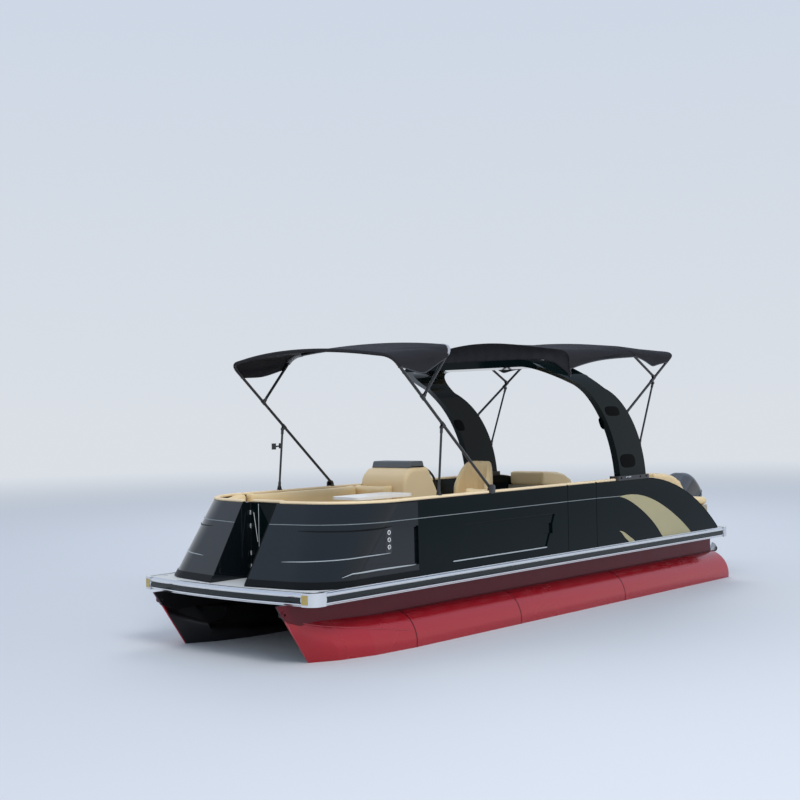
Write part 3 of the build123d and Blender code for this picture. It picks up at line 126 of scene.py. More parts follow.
def across_threshold():
    """Shader group: a mask that goes from 0 to 1 where a place's distance along a direction passes a limit,
    over a soft width. Both sides of the boat are masked alike."""
    group, inside, outside = shader_group("Across threshold", (
        ("Direction", "INPUT", "NodeSocketVector", (0, 0, 1)),
        ("Limit", "INPUT", "NodeSocketFloat", 0.0),
        ("Width", "INPUT", "NodeSocketFloat", 0.01),
        ("Mask", "OUTPUT", "NodeSocketFloat", None),
    ))
    place, apart, port, along = (
        group.nodes.new(f"ShaderNode{kind}") for kind in ("TexCoord", "SeparateXYZ", "CombineXYZ", "VectorMath")
    )
    along.operation = "DOT_PRODUCT"
    group.links.new(place.outputs["Object"], apart.inputs[0])
    group.links.new(apart.outputs["X"], port.inputs["X"])
    group.links.new(arithmetic(group, "ABSOLUTE", apart.outputs["Y"]), port.inputs["Y"])
    group.links.new(apart.outputs["Z"], port.inputs["Z"])
    group.links.new(port.outputs[0], along.inputs[0])
    group.links.new(inside.outputs["Direction"], along.inputs[1])
    over = arithmetic(group, "SUBTRACT", along.outputs["Value"], inside.outputs["Limit"])
    share = arithmetic(group, "DIVIDE", over, inside.outputs["Width"])
    ramp = group.nodes.new("ShaderNodeClamp")
    group.links.new(arithmetic(group, "ADD", share, 0.5), ramp.inputs["Value"])
    group.links.new(ramp.outputs[0], outside.inputs["Mask"])
    return group


uneven = uneven_finish()
threshold = across_threshold()


def finish(name, colour, roughness, metallic=0.0, coat=0.0, patch=(3.0, 0.12), grain=(400.0, 0.02), **sockets):
    """A material of one colour, made uneven by the shared group, with a fine bump; other sockets by name."""
    material = bpy.data.materials.new(name)
    material.use_nodes = True
    tree = material.node_tree
    shader = tree.nodes["Principled BSDF"]
    life = tree.nodes.new("ShaderNodeGroup")
    life.node_tree = uneven
    life.name = "Life"
    life.inputs["Color"].default_value = (*colour, 1)
    life.inputs["Gloss roughness"].default_value = roughness
    life.inputs["Patch scale"].default_value, life.inputs["Patch depth"].default_value = patch
    life.inputs["Grain scale"].default_value = grain[0]
    bump = tree.nodes.new("ShaderNodeBump")
    bump.name = "Bump"
    bump.inputs["Strength"].default_value = grain[1]
    bump.inputs["Distance"].default_value = 0.002
    tree.links.new(life.outputs["Color"], shader.inputs["Base Color"])
    tree.links.new(life.outputs["Roughness"], shader.inputs["Roughness"])
    tree.links.new(life.outputs["Grain height"], bump.inputs["Height"])
    tree.links.new(bump.outputs["Normal"], shader.inputs["Normal"])
    shader.inputs["Metallic"].default_value = metallic
    shader.inputs["Coat Weight"].default_value = coat
    for socket, value in sockets.items():
        shader.inputs[socket.replace("_", " ")].default_value = value
    return material


def colour_past_line(material, colour, direction, limit, width=0.004):
    """Lays a second colour over a material, on one side of a line across it: the painted shade inboard and the
    painted sheen on the motor's crown.
    """
    tree = material.node_tree
    shader = tree.nodes["Principled BSDF"]
    mask, mix = tree.nodes.new("ShaderNodeGroup"), tree.nodes.new("ShaderNodeMix")
    mask.node_tree = threshold
    mask.inputs["Direction"].default_value = direction
    mask.inputs["Limit"].default_value = limit
    mask.inputs["Width"].default_value = width
    mix.data_type = "RGBA"
    tree.links.new(mask.outputs["Mask"], mix.inputs["Factor"])
    tree.links.new(shader.inputs["Base Color"].links[0].from_socket, mix.inputs["A"])
    mix.inputs["B"].default_value = (*colour, 1)
    tree.links.new(mix.outputs["Result"], shader.inputs["Base Color"])


def wear(material, *names):
    """Gives CAD nodes a material in place of their plain one."""
    for name in names:
        nodes[name].data.materials.clear()
        nodes[name].data.materials.append(material)


def sheet_faces(grid, around=False, ends=False, first=0):
    """Quads over a grid of points, rows by columns. around joins the last column to the first, and ends closes
    the first and last rows."""
    rows, columns = grid.shape[:2]
    index = first + np.arange(rows * columns).reshape(rows, columns)
    wide = np.hstack([index, index[:, :1]]) if around else index
    quads = np.stack([wide[:-1, :-1], wide[:-1, 1:], wide[1:, 1:], wide[1:, :-1]], -1).reshape(-1, 4).tolist()
    if ends:
        quads += [index[0][::-1].tolist(), index[-1].tolist()]
    return quads


def placed(name, data):
    """A new object in the scene, at the origin, with its place in its mesh."""
    thing = bpy.data.objects.new(name, data)
    bpy.context.collection.objects.link(thing)
    return thing


def build(name, grids, material, body=None, around=True, ends=True, smooth=True):
    """One piece from several grids of points, each closed in the same way, with its faces turned outwards."""
    points, faces = [], []
    for grid in grids:
        faces += sheet_faces(grid, around, ends, sum(len(p) for p in points))
        points.append(grid.reshape(-1, 3))
    mesh = bpy.data.meshes.new(name)
    mesh.from_pydata(np.vstack(points).tolist(), [], faces)
    if around:
        shape = bmesh.new()
        shape.from_mesh(mesh)
        bmesh.ops.recalc_face_normals(shape, faces=shape.faces)
        shape.to_mesh(mesh)
        shape.free()
    mesh.materials.append(material)
    if smooth:
        mesh.shade_smooth()
        mesh.set_sharp_from_angle(angle=radians(42))
    piece = placed(name, mesh)
    if body:
        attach(piece, body)
    return piece


def oval(half_width, half_height, count=14, power=2.0):
    """A closed profile: the point at each angle is the cosine and sine, each raised to 2 / power, times the
    half sizes. Power 2 is an ellipse, and more is squarer."""
    angle = np.linspace(0, 2 * pi, count, endpoint=False)
    c, s = np.cos(angle), np.sin(angle)
    return np.column_stack([
        half_width * np.sign(c) * abs(c) ** (2 / power),
        half_height * np.sign(s) * abs(s) ** (2 / power),
    ])


def sweep(path, profile, up=(0, 0, 1), scale=None):
    """A profile carried along a path: its first coordinate lies across the path and its second towards up, both
    square to the path's own direction. scale shrinks it at each point."""
    path = np.asarray(path, float)
    scale = np.ones(len(path)) if scale is None else scale
    along = np.gradient(path, axis=0)
    along /= np.linalg.norm(along, axis=1, keepdims=True)
    side = np.cross(up, along)
    side /= np.linalg.norm(side, axis=1, keepdims=True)
    rise = np.cross(along, side)
    size = scale[:, None, None]
    return path[:, None] + size * (profile[:, :1] * side[:, None] + profile[:, 1:] * rise[:, None])


def run_along(path):
    """How far along a path each of its points lies."""
    return np.concatenate([[0], np.cumsum(np.linalg.norm(np.diff(path, axis=0), axis=1))])


def tapered(path, profile, length, up=(0, 0, 1)):
    """A sweep whose ends close in quarter rounds of a length."""
    run = run_along(path)
    near = np.minimum(run, run[-1] - run)
    return sweep(path, profile, up, np.sqrt(1 - (1 - np.clip(near / length, 0.03, 1)) ** 2))


def line(start, end, count=24):
    """Points along a straight run, closer together at both ends."""
    share = (1 - np.cos(np.linspace(0, pi, count)))[:, None] / 2
    return np.asarray(start, float) * (1 - share) + np.asarray(end, float) * share


def rounded_line(corners, radii, count):
    """Points evenly spaced along a line through corners, the inner ones rounded by arcs that touch both
    runs."""
    corners = np.asarray(corners, float)
    runs = [corners[:1]]
    for before, corner, after, radius in zip(corners[:-2], corners[1:-1], corners[2:], radii):
        u, v = (d / np.linalg.norm(d) for d in (before - corner, after - corner))
        half = np.arccos(np.clip(u @ v, -1, 1)) / 2
        centre = corner + (u + v) / np.linalg.norm(u + v) * radius / np.sin(half)
        first, last = (corner + d * radius / np.tan(half) - centre for d in (u, v))
        turn, share = pi - 2 * half, np.linspace(0, 1, 24)[:, None]
        runs.append(centre + (np.sin((1 - share) * turn) * first + np.sin(share * turn) * last) / np.sin(turn))
    whole = np.vstack([*runs, corners[-1:]])
    run = run_along(whole)
    even = np.linspace(0, run[-1], count)
    return np.column_stack([np.interp(even, run, whole[:, axis]) for axis in range(corners.shape[1])])


ahead, to_port, upward = np.eye(3)


def circle(centre, radius, first, second, count):
    """A closed circle of points: its radius times the cosine along first and the sine along second."""
    turn = np.linspace(0, 2 * pi, count)[:, None]
    return centre + radius * (np.cos(turn) * first + np.sin(turn) * second)


def turned(centre, steps, first=ahead, second=to_port, out=upward, count=27):
    """A round part, as off a lathe: for each (radius, height) of its steps a circle, that far along out."""
    return np.stack([
        circle(centre + height * out, radius, first, second, count + 1)[:-1] for radius, height in steps
    ])


def mirrored(grid):
    """The same grid on the starboard side."""
    return grid * (1, -1, 1)


def both_sides(*grids):
    """The grids, and the same ones on the starboard side."""
    return [*grids, *map(mirrored, grids)]


def skin(node):
    """A CAD node's surface, to cast rays at."""
    mesh = nodes[node].data
    return BVHTree.FromPolygons([v.co for v in mesh.vertices], [p.vertices for p in mesh.polygons])


float_red = finish("Float red", (0.42, 0.010, 0.020), 0.27, metallic=0.4, coat=0.6, patch=(0.8, 0.1))
# The risers take a darker copy of the float red: painted shade under the deck's edge.
riser_shaded_red = finish("Riser red, painted shade", (0.12, 0.006, 0.012), 0.45, metallic=0.3, patch=(3.0, 0.25))
pod_black = finish("Pod black", (0.012, 0.010, 0.011), 0.5)
# Near black on the inboard sides of floats and risers: painted shade between the floats.
inboard_painted_shade = (0.006, 0.005, 0.006)
tube_y, tube_z, tube_radius = 0.912, 0.32, 0.312
colour_past_line(float_red, inboard_painted_shade, (0, -1, 0), -tube_y, 0.02)
colour_past_line(riser_shaded_red, inboard_painted_shade, (0, -1, 0), -tube_y, 0.02)
wear(float_red, "port_float", "starboard_float")
wear(riser_shaded_red, "risers")
wear(pod_black, "engine_pod")

# Welds round the tubes, a raised stem along each nose, a spray strake, and the riser's weld bead. The stems and
# strakes are a lighter, pinker red as painted highlights along their edges.
weld_dark = finish("Weld bead", (0.07, 0.004, 0.008), 0.4, metallic=0.4)
stem_highlight_red = finish("Stem highlight red", (0.45, 0.05, 0.06), 0.3, metallic=0.4, coat=0.4)
welds = []
for station in (2.60, 4.75, 6.515):
    tube_ring = circle((aft + station, tube_y, tube_z), tube_radius, to_port, upward, 64)
    welds.append(sweep(tube_ring, oval(0.003, 0.007, 8), up=ahead))
bead = line((aft - 0.088, tube_y + 0.079, 0.626), (aft + 6.95, tube_y + 0.079, 0.626), 40)
welds.append(sweep(bead, oval(0.005, 0.005, 8)))
build("float_welds", both_sides(*welds), weld_dark, "boat")
float_skin = skin("port_float")
strake = np.array([
    float_skin.ray_cast(Vector((aft + x, 3, z)), Vector((0, -1, 0)))[0]
    for x, z in rounded_line([(8.03, 0.705), (7.63, 0.61), (6.53, 0.44)], [1.5], 40)
])
stem = line((aft + 7.603, tube_y, 0.072), (aft + 8.042, tube_y, 0.708))
highlighted_stems = both_sides(sweep(stem, oval(0.009, 0.009), up=to_port), tapered(strake, oval(0.007, 0.006, 10), 0.25))
build("float_highlighted_stems", highlighted_stems, stem_highlight_red, "boat")

# Crossmembers, deck and rub rail: extruded channels under a deck covered in pale woven vinyl, with a
# polished rail of two beads, a black strip in the groove between them as painted shade, cast corner caps and
# steel screws.
mill_metal = finish("Mill aluminium", (0.30, 0.31, 0.32), 0.5, metallic=0.9, patch=(6.0, 0.15))
deck_vinyl = finish("Deck vinyl", (0.60, 0.60, 0.58), 0.75, patch=(1.5, 0.12), grain=(900.0, 0.15))
polished = finish("Polished rail", (0.80, 0.81, 0.82), 0.2, metallic=1.0, patch=(4.0, 0.1))
groove_shade_black = finish(
    "Rail groove shade", (0.012, 0.017, 0.017), 0.25, coat=0.1, patch=(5.0, 0.3), Specular_IOR_Level=0.3
)
warm_metal = finish("Warm bracket", (0.60, 0.45, 0.17), 0.25, metallic=1.0, patch=(12.0, 0.4))
wear(mill_metal, "crossmembers")
wear(deck_vinyl, "deck")
wear(polished, "rub_rails", "rail_corner_caps")
half_beam, bow_radius, bow_centre, corner = 1.275, 7.4439, 0.6661, 0.15
rail_z, groove_shade_inset = 0.9105, 0.0145
bow_turn = np.linspace(-1, 1, 60) * np.arcsin((half_beam - corner) / bow_radius)


def rail_run(inset, z):
    """Lines of points that follow the rail at an inset from its outermost edge: port, starboard, bow, stern."""
    reach, side, past = bow_radius - inset, half_beam - inset, half_beam - corner
    port = line((aft + corner, side, z), (aft + 8 - corner, side, z), 60)
    arc = np.column_stack([
        aft + bow_centre + reach * np.cos(bow_turn), reach * np.sin(bow_turn), np.full(60, z)
    ])
    return port, mirrored(port), arc, line((aft + inset, -past, z), (aft + inset, past, z))


# The black strip in the rail's groove is painted shade.
runs = rail_run(groove_shade_inset, rail_z)
groove_shades = [sweep(run, oval(0.0125, 0.024, 16, 3.2)) for run in runs]
build("rail_groove_shade", groove_shades, groove_shade_black, "boat")
groove_shade_ends = []
for run in runs[:3]:
    for end, before in ((run[0], run[1]), (run[-1], run[-2])):
        step = (end - before) / np.linalg.norm(end - before)
        plug = line(end - step * 0.012, end + step * 0.014, 9)
        shrink = np.array([1, 1, 1, 1, 0.98, 0.9, 0.75, 0.5, 0.1])
        groove_shade_ends.append(sweep(plug, oval(0.0135, 0.0265, 16, 2.4), scale=shrink))
build("rail_groove_shade_ends", groove_shade_ends, polished, "boat")
dome = np.array([(0.0065, 0), (0.006, 0.0022), (0.004, 0.0036), (0.0008, 0.0042)])
screws = [turned((aft + station, 1.242, 0.9795), dome, count=8) for station in np.arange(0.4, 7.8, 0.42)]
screws += [turned((aft + 7.80, y, 0.9705), dome * 1.6, count=8) for y in (1.135, 1.165, 1.195)]
build("rail_screws", both_sides(*screws), polished, "boat")
across = np.linspace(1.128, 1.20, 12)
bracket = np.column_stack([aft + bow_centre + np.sqrt(7.447**2 - across**2), across, np.full(12, 0.915)])
bracket = sweep(bracket, oval(0.004, 0.046, 16, 6))
build("corner_brackets", both_sides(bracket), warm_metal, "boat")

# Fence: welded frames skinned with sheet in gloss black-green paint. Scoops pressed in the sides have
# a silver bar and painted highlights along their ledges, and flat khaki stripes sweep down each side near the
# stern.
fence_gloss = finish(
    "Fence gloss", (0.0022, 0.0062, 0.0066), 0.06, patch=(1.2, 0.5), grain=(30.0, 0.004),
    Specular_IOR_Level=0.12,
)
# The bow panels take a lighter, bluer copy of the fence paint: the tint is a painted sky reflection.
bow_gloss_sky_tint = finish(
    "Bow gloss, sky tint", (0.004, 0.0065, 0.0085), 0.05, coat=0.32, patch=(1.0, 0.6), grain=(9.0, 0.03),
    Specular_IOR_Level=0.3,
)
pinstripe = finish("Pinstripe", (0.24, 0.27, 0.27), 0.3, metallic=0.4)
silver_trim_and_highlight = finish("Silver trim and highlight", (0.50, 0.53, 0.53), 0.3, metallic=0.5)
khaki = finish("Khaki stripe", (0.42, 0.37, 0.20), 0.45, patch=(4.0, 0.1), grain=(500.0, 0.05))
edge_black = finish("Edge black", (0.004, 0.005, 0.005), 0.45, Specular_IOR_Level=0.15)
tan_vinyl = finish("Tan vinyl", (0.83, 0.65, 0.40), 0.45, patch=(2.5, 0.1), grain=(650.0, 0.12))
stainless = finish("Stainless", (0.62, 0.62, 0.62), 0.22, metallic=1.0)
wear(bow_gloss_sky_tint, "port_bow_panel", "starboard_bow_panel")
wear(fence_gloss, *(f"{side}_{part}_panel" for side in ("port", "starboard") for part in ("side", "aft")))
wear(fence_gloss, "side_gate", "bow_gate", "arch")
wear(edge_black, "bow_skirts")
wear(stainless, "gate_hinges")
fence_y, fence_foot, fence_top = 1.22, 0.97, 1.745


def bow_face(along, z, out=0.0):
    """Points on the port bow panel's outer face. along runs 0 to 1 on its flat side from the seam, 1 to 2 round
    its corner and 2 to 3 across its front; z is height, and out stands them off. The front and the corner's
    radius change evenly with height, and every level turns through the same angle."""
    along, z, out = np.broadcast_arrays(np.asarray(along, float), z, out)
    share, lean = (z - fence_foot) / (fence_top - fence_foot), radians(8.5)
    radius = 0.47 + 0.25 * share + out
    front = 7.95 - 0.45 * share + out / cos(lean)
    side = fence_y + out
    apex = front - (side - 0.25) * tan(lean)
    centre_x, centre_y = apex - radius * tan(radians(40.75)), side - radius
    turn = radians(90) - np.clip(along - 1, 0, 1) * radians(81.5)
    over = np.clip(along - 2, 0, 1)
    x = np.where(along < 1, 6.46 + (centre_x - 6.46) * along, centre_x + radius * np.cos(turn))
    y = np.where(along < 1, side, centre_y + radius * np.sin(turn))
    x = x + over * (front - centre_x - radius * cos(lean))
    y = y + over * (0.25 - centre_y - radius * sin(lean))
    return np.column_stack([aft + x, y, z])


def bow_line(marks, out, count=70):
    """A line drawn on the bow panel through marks of (along, height), passing smoothly between them."""
    marks = np.array(marks, float)
    share = np.linspace(marks[0, 0], marks[-1, 0], count)
    order = np.argsort(marks[:, 0])
    return bow_face(share, np.interp(share, marks[order, 0], marks[order, 1]), out)


side_at, stripe_z = fence_y + 0.001, 1.56
stripe = oval(0.0028, 0.0042, 10)


def side_stripe(start, end, start_z=stripe_z):
    """A pinstripe along the fence's flat side, between two stations."""
    return sweep(line((aft + start, side_at, start_z), (aft + end, side_at, stripe_z)), stripe)


round_stripe = sweep(bow_line([(2.97, 1.55), (2.0, 1.554), (1.2, stripe_z), (0, stripe_z)], 0.001), stripe)
stripes = both_sides(round_stripe, side_stripe(3.802, 6.455), side_stripe(2.66, 3.188, 1.553))
build("pinstripe", [*stripes, mirrored(side_stripe(3.188, 3.802))], pinstripe, "boat")
build("pinstripe_gate", [side_stripe(3.20, 3.79)], pinstripe, "side_gate")

# Painted highlights along the pressed ledges in the bow scoop, the side scoop's silver bar, and a painted
# shadow line in the crease over each scoop
# The two ledge lines in the bow scoop are painted highlights; the side scoop's bar is silver trim.
upper_ledge_highlight = bow_line([(2.34, 1.21), (1.93, 1.219), (1.43, 1.235), (1.1, 1.249), (0.6, 1.25)], 0.0005)
lower_ledge_highlight = bow_line([(1.31, 1.07), (1.18, 1.099), (0.71, 1.104), (0.06, 1.10)], 0.001)
bar = line((aft + 4.23, side_at, 1.07), (aft + 5.92, side_at, 1.072))
ledge_highlights_and_bar = both_sides(
    tapered(upper_ledge_highlight, oval(0.0035, 0.005, 10), 0.3), tapered(lower_ledge_highlight, oval(0.0045, 0.008, 10), 0.4),
    tapered(bar, oval(0.005, 0.007, 10), 0.03),
)
build("pressed_ledge_highlights", ledge_highlights_and_bar, silver_trim_and_highlight, "boat")
# Black lines in the creases over the scoops: painted shadow under each scoop's lip.
bow_crease_shadow = bow_line([(2.1, 1.498), (1.77, 1.494), (1.44, 1.493), (1.03, 1.504), (0.83, 1.509)], 0.0005)
side_crease_shadow = line((aft + 4.05, fence_y, 1.442), (aft + 5.72, fence_y, 1.442))

# Black binding along the stern's falling edges and down the bow opening's edges, and a tan bead on the first
tail = np.array([(0.2, 0.97), (1.01, 1.5), (2.06, 1.745)])
(x1, z1), (x2, z2), (x3, z3) = tail
middle = np.linalg.solve(
    2 * np.array([(x2 - x1, z2 - z1), (x3 - x1, z3 - z1)]),
    np.array([x2**2 + z2**2 - x1**2 - z1**2, x3**2 + z3**2 - x1**2 - z1**2]),
)
tail_radius = np.linalg.norm(tail[0] - middle)
start, stop = (atan2(*(p - middle)[::-1]) for p in (tail[0], tail[2]))
fence_middle = fence_y - 0.0225


def tail_arc(out, low=0.0, high=1.0, count=60):
    """Points along the fence's falling stern edge, raised off it by out: an arc about one centre."""
    turn = start + (stop - start) * np.linspace(low, high, count)
    r = tail_radius + out
    return np.column_stack([
        aft + middle[0] + r * np.cos(turn), np.full(count, fence_middle), middle[1] + r * np.sin(turn)
    ])


# The bindings are black trim; the two crease lines among them are painted shadow.
bindings_and_crease_shadows = both_sides(
    tapered(bow_crease_shadow, oval(0.003, 0.009, 10), 0.35), tapered(side_crease_shadow, oval(0.003, 0.006, 10), 0.2),
    sweep(tail_arc(0.002, 0.015, 1.0), oval(0.006, 0.027, 14, 4), up=to_port),
    sweep(bow_face(np.full(30, 3.0), np.linspace(1.045, 1.735, 30)), oval(0.005, 0.005, 10), up=to_port),
)
build("edge_bindings_and_crease_shadows", bindings_and_crease_shadows, edge_black, "boat")
tail_bead = tapered(tail_arc(0.010, 0.60, 0.99), oval(0.006, 0.02, 12), 0.3, up=to_port)
build("tail_beads", both_sides(tail_bead), tan_vinyl, "boat")


def flat_stripe(outer, inner, count=60):
    """A thin closed plate on the fence's side between two curves, each a polynomial of up to the fourth power
    through points of (station, height over the waterline)."""
    curves = []
    for marks in (np.array(outer), np.array(inner)):
        powers = np.polynomial.polynomial.polyfit(np.linspace(0, 1, len(marks)), marks, min(4, len(marks) - 1))
        curves.append(np.polynomial.polynomial.polyval(np.linspace(0, 1, count), powers).T)
    return np.stack([
        np.column_stack([aft + curves[edge][:, 0], np.full(count, y), curves[edge][:, 1] + waterline])
        for edge, y in ((0, 1.2214), (1, 1.2214), (1, 1.2195), (0, 1.2195))
    ], 1)


stripe_big = flat_stripe(
    [(2.67, 1.285), (2.29, 1.275), (1.98, 1.23), (1.67, 1.11), (1.36, 0.97), (1.14, 0.84), (0.94, 0.70)],
    [(2.66, 1.275), (2.41, 1.19), (2.14, 1.08), (1.93, 0.93), (1.80, 0.82), (1.72, 0.76), (1.66, 0.70)],
)
stripe_small = flat_stripe(
    [(2.70, 0.86), (2.58, 0.83), (2.48, 0.78), (2.40, 0.74), (2.33, 0.70)],
    [(2.69, 0.855), (2.62, 0.81), (2.56, 0.76), (2.51, 0.73), (2.48, 0.70)],
)
build("khaki_stripes", both_sides(stripe_big, stripe_small), khaki, "boat", smooth=False)

# Fence caps: long foam pads under tan vinyl, stapled along the fence's top over a black underline strip, which
# is partly a gasket and partly painted shadow under the pad.
# Each gate carries its own length, which moves with it.
wear(tan_vinyl, "port_fence_cap", "starboard_fence_cap", "side_gate_cap", "bow_gate_cap")
cap_z = 1.7585
cap_profile, underline_and_shadow = oval(0.0285, 0.0165, 18, 2.6), oval(0.0262, 0.0085, 12, 4)
round_bow = bow_face(np.concatenate([np.linspace(0, 2, 60), np.linspace(2.1, 2.95, 20)]), cap_z, -0.0225)


def cap_run(start, end, count=24):
    """A straight run between two stations along the middle of the port fence's top."""
    return line((aft + start, fence_middle, cap_z), (aft + end, fence_middle, cap_z), count)


def cap(name, path, node, body="boat", side=1):
    """A padded cap along a path, in place of its node, and the black strip under it: a gasket with painted
    shadow.
    """
    place = (1, side, 1)
    pad = build(name, [tapered(path, cap_profile, 0.02) * place], tan_vinyl, body)
    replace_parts(pad, node)
    build(f"{name}_strip", [sweep(path - (0, 0, 0.0195), underline_and_shadow) * place], edge_black, body)


cap("port_cap", np.vstack([cap_run(3.805, 6.44, 60), round_bow]), "port_fence_cap")
cap("port_short_cap", cap_run(2.745, 3.185), "port_fence_cap")
cap("starboard_cap", np.vstack([cap_run(3.19, 6.44, 60), round_bow]), "starboard_fence_cap", side=-1)
cap("starboard_short_cap", cap_run(2.745, 3.185), "starboard_fence_cap", side=-1)
cap("side_gate_pad", cap_run(3.20, 3.79), "side_gate_cap", "side_gate")
gate_run = line((aft + 7.38, -0.225, cap_z), (aft + 7.38, 0.232, cap_z))
cap("bow_gate_pad", gate_run, "bow_gate_cap", "bow_gate")

# Docking lights: three lamps with chrome-white rims and clear lenses in a black plate on each side. The
# plates are the CAD's, and the rims and lenses are added here.
lamp_plate = finish("Lamp plate", (0.006, 0.007, 0.008), 0.15, coat=0.5)
lamp_rim = finish("Lamp rim", (0.85, 0.85, 0.83), 0.2, metallic=0.3)
lamp_lens = finish("Lamp lens", (0.10, 0.10, 0.11), 0.05, coat=1.0)
wear(lamp_plate, "docking_lights")
rims, lenses = [], []
for z in (1.3825 - 0.072, 1.3825, 1.3825 + 0.072):
    rim = circle((aft + 6.90, 1.2185, z), 0.0195, ahead, upward, 28)
    rims.append(sweep(rim, oval(0.004, 0.0035, 8), up=to_port))
    lens = (0.019, 0), (0.016, 0.003), (0.009, 0.005), (0.001, 0.0056)
    lenses.append(turned((aft + 6.90, 1.2175, z), lens, ahead, upward, to_port))
build("lamp_rims", both_sides(*rims), lamp_rim, "boat")
build("lamp_lenses", both_sides(*lenses), lamp_lens, "boat")

# Gates: the bow gate has a bright latch rod and stay on its face. A black hinge post stands beside it, and
# a sill strip lies across the recess in front of it.
gate_face = aft + 7.404
latch = line((gate_face, -0.12, 1.73), (gate_face, -0.12, 1.16))
stay = line((gate_face + 0.004, -0.19, 1.64), (gate_face + 0.004, -0.135, 1.34))
rods = [sweep(latch, oval(0.006, 0.006, 10), up=ahead), sweep(stay, oval(0.007, 0.007, 10), up=ahead)]
build("bow_gate_rods", rods, stainless, "bow_gate")
post = line((aft + 7.36, -0.311, 0.985), (aft + 7.36, -0.311, 1.742))
build("bow_hinge_post", [sweep(post, oval(0.018, 0.035, 16, 6), up=ahead)], edge_black, "boat")
sill = sweep(line((aft + 7.44, -0.24, 0.974), (aft + 7.44, 0.24, 0.974)), oval(0.02, 0.004, 12, 4))
build("bow_sill", [sill], edge_black, "boat")

# Arch: a fabricated blade in the fence's paint, standing in cast collars that are bolted to the fence. Low
# rounded ovals in black and grey on its legs are painted reflections.
black_tube = finish("Black tube", (0.012, 0.012, 0.013), 0.28, coat=0.3)
reflection_and_bolt_black = finish("Reflection and bolt black", (0.0012, 0.0014, 0.0014), 0.5, Specular_IOR_Level=0.04)
grey_reflection_paint = finish("Grey reflection", (0.11, 0.11, 0.105), 0.5)
wear(black_tube, "arch_collars", "canopy_mounts")


def cover(station, z, half_width, half_height, lean, face, proud=0.004):
    """A low rounded plate on a vertical face: rings of a squarish oval, each smaller and further out."""
    rings = []
    for share, step in ((1.0, -0.001), (1.0, 0.5), (0.97, 0.85), (0.9, 1.0), (0.03, 1.02)):
        flat = oval(half_width * share, half_height * share, 28, 3.0)
        y = np.full(28, face + np.sign(face) * proud * step)
        rings.append(np.column_stack([aft + station + flat[:, 0] - flat[:, 1] * tan(lean), y, z + flat[:, 1]]))
    return np.stack(rings)


# Dark and grey ovals on the arch's legs: painted reflections. The same black serves the collar bolts.
dark_reflection_ovals = both_sides(
    cover(2.47, 1.98, 0.17, 0.085, -0.25, 1.22), cover(2.80, 2.60, 0.155, 0.06, -0.5, 1.22),
    cover(2.86, 2.45, 0.10, 0.075, -0.5, -1.135, -0.004),
)
build("arch_dark_reflection_ovals", dark_reflection_ovals, reflection_and_bolt_black, "boat")
grey_reflection_oval = cover(3.22, 2.95, 0.12, 0.10, -0.7, -1.135, -0.004)
build("arch_grey_reflection_ovals", both_sides(grey_reflection_oval), grey_reflection_paint, "boat")
bolts, bolt_head = [], ((0.011, 0), (0.011, 0.004), (0.008, 0.006), (0.001, 0.0065))
for station in (2.08, 2.22, 2.52, 2.66):
    bolts.append(turned((aft + station, 1.2415, 1.776), bolt_head, ahead, upward, to_port, 8))
collar_bar = sweep(line((aft + 2.44, 1.243, 1.782), (aft + 2.56, 1.243, 1.782)), oval(0.003, 0.007, 10, 4))
build("collar_bolts", both_sides(*bolts), reflection_and_bolt_black, "boat")
build("collar_bars", both_sides(collar_bar), silver_trim_and_highlight, "boat")

# Canopy frames: black powder-coated tubes with nylon jaws and eyes, a clamp knob on the starboard front
# strut, and square covers over the front hoop's feet.
for canopy in ("front", "rear"):
    wear(black_tube, *(f"{canopy}_canopy_{part}" for part in ("hoop", "second_hoop", "struts")))
knob_at = np.array((aft + 6.075, -1.1975, 2.28))
knob = [
    sweep(line(knob_at + low, knob_at + high), oval(half, half, sides), up=up)
    for low, high, half, sides, up in (
        ((-0.02, 0, 0), (0.11, 0, -0.01), 0.009, 14, upward),
        ((0.10, 0, -0.04), (0.10, 0, 0.03), 0.026, 16, ahead),
        ((-0.001, 0, -0.03), (-0.001, 0, 0.03), 0.018, 16, ahead),
    )
]
build("strut_clamp", knob, black_tube, "front_struts")
foot_cover = cover(5.24, 1.788, 0.052, 0.05, 0.0, 1.2205, 0.018)
build("front_feet", both_sides(foot_cover), black_tube, "boat")

# Canopies: black acrylic canvas cut to shape, sewn into pockets round the hoops, with a bound edge and a
# drape down each side that hangs in a shallow curve between the hoops. The hoops stand higher than their
# CAD tubes, so copies of those are drawn out along their legs.
canvas = finish(
    "Canvas", (0.019, 0.018, 0.021), 0.8, patch=(2.0, 0.4), grain=(900.0, 0.35), Specular_IOR_Level=0.25
)
canvas_edge = finish("Canvas binding", (0.045, 0.045, 0.05), 0.55, grain=(700.0, 0.2))
# Light grey for the front second hoop's bends: a painted highlight on the tube.
bend_highlight_grey = finish("Hoop bend highlight", (0.34, 0.34, 0.36), 0.35, patch=(8.0, 0.4))
tube_bend, crown_bend = 0.15, 3.6


def points_of(mesh):
    """A mesh's points as an array."""
    flat = np.empty(len(mesh.vertices) * 3)
    mesh.vertices.foreach_get("co", flat)
    return flat.reshape(-1, 3)


def drawn_out(points, pivot, leg, ramp, side, middle, half):
    """Points of a hoop moved out along its legs. Below the ramp nothing moves, above it everything moves by
    middle at the boat's centre and by side at the legs, changing with the square of the distance between."""
    along = (points - pivot) @ leg
    share = np.clip((along - ramp[0]) / (ramp[1] - ramp[0]), 0, 1)
    reach = middle + (side - middle) * np.clip(points[..., 1] / half, -1, 1) ** 2
    return points + (share**2 * (3 - 2 * share) * reach)[..., None] * leg


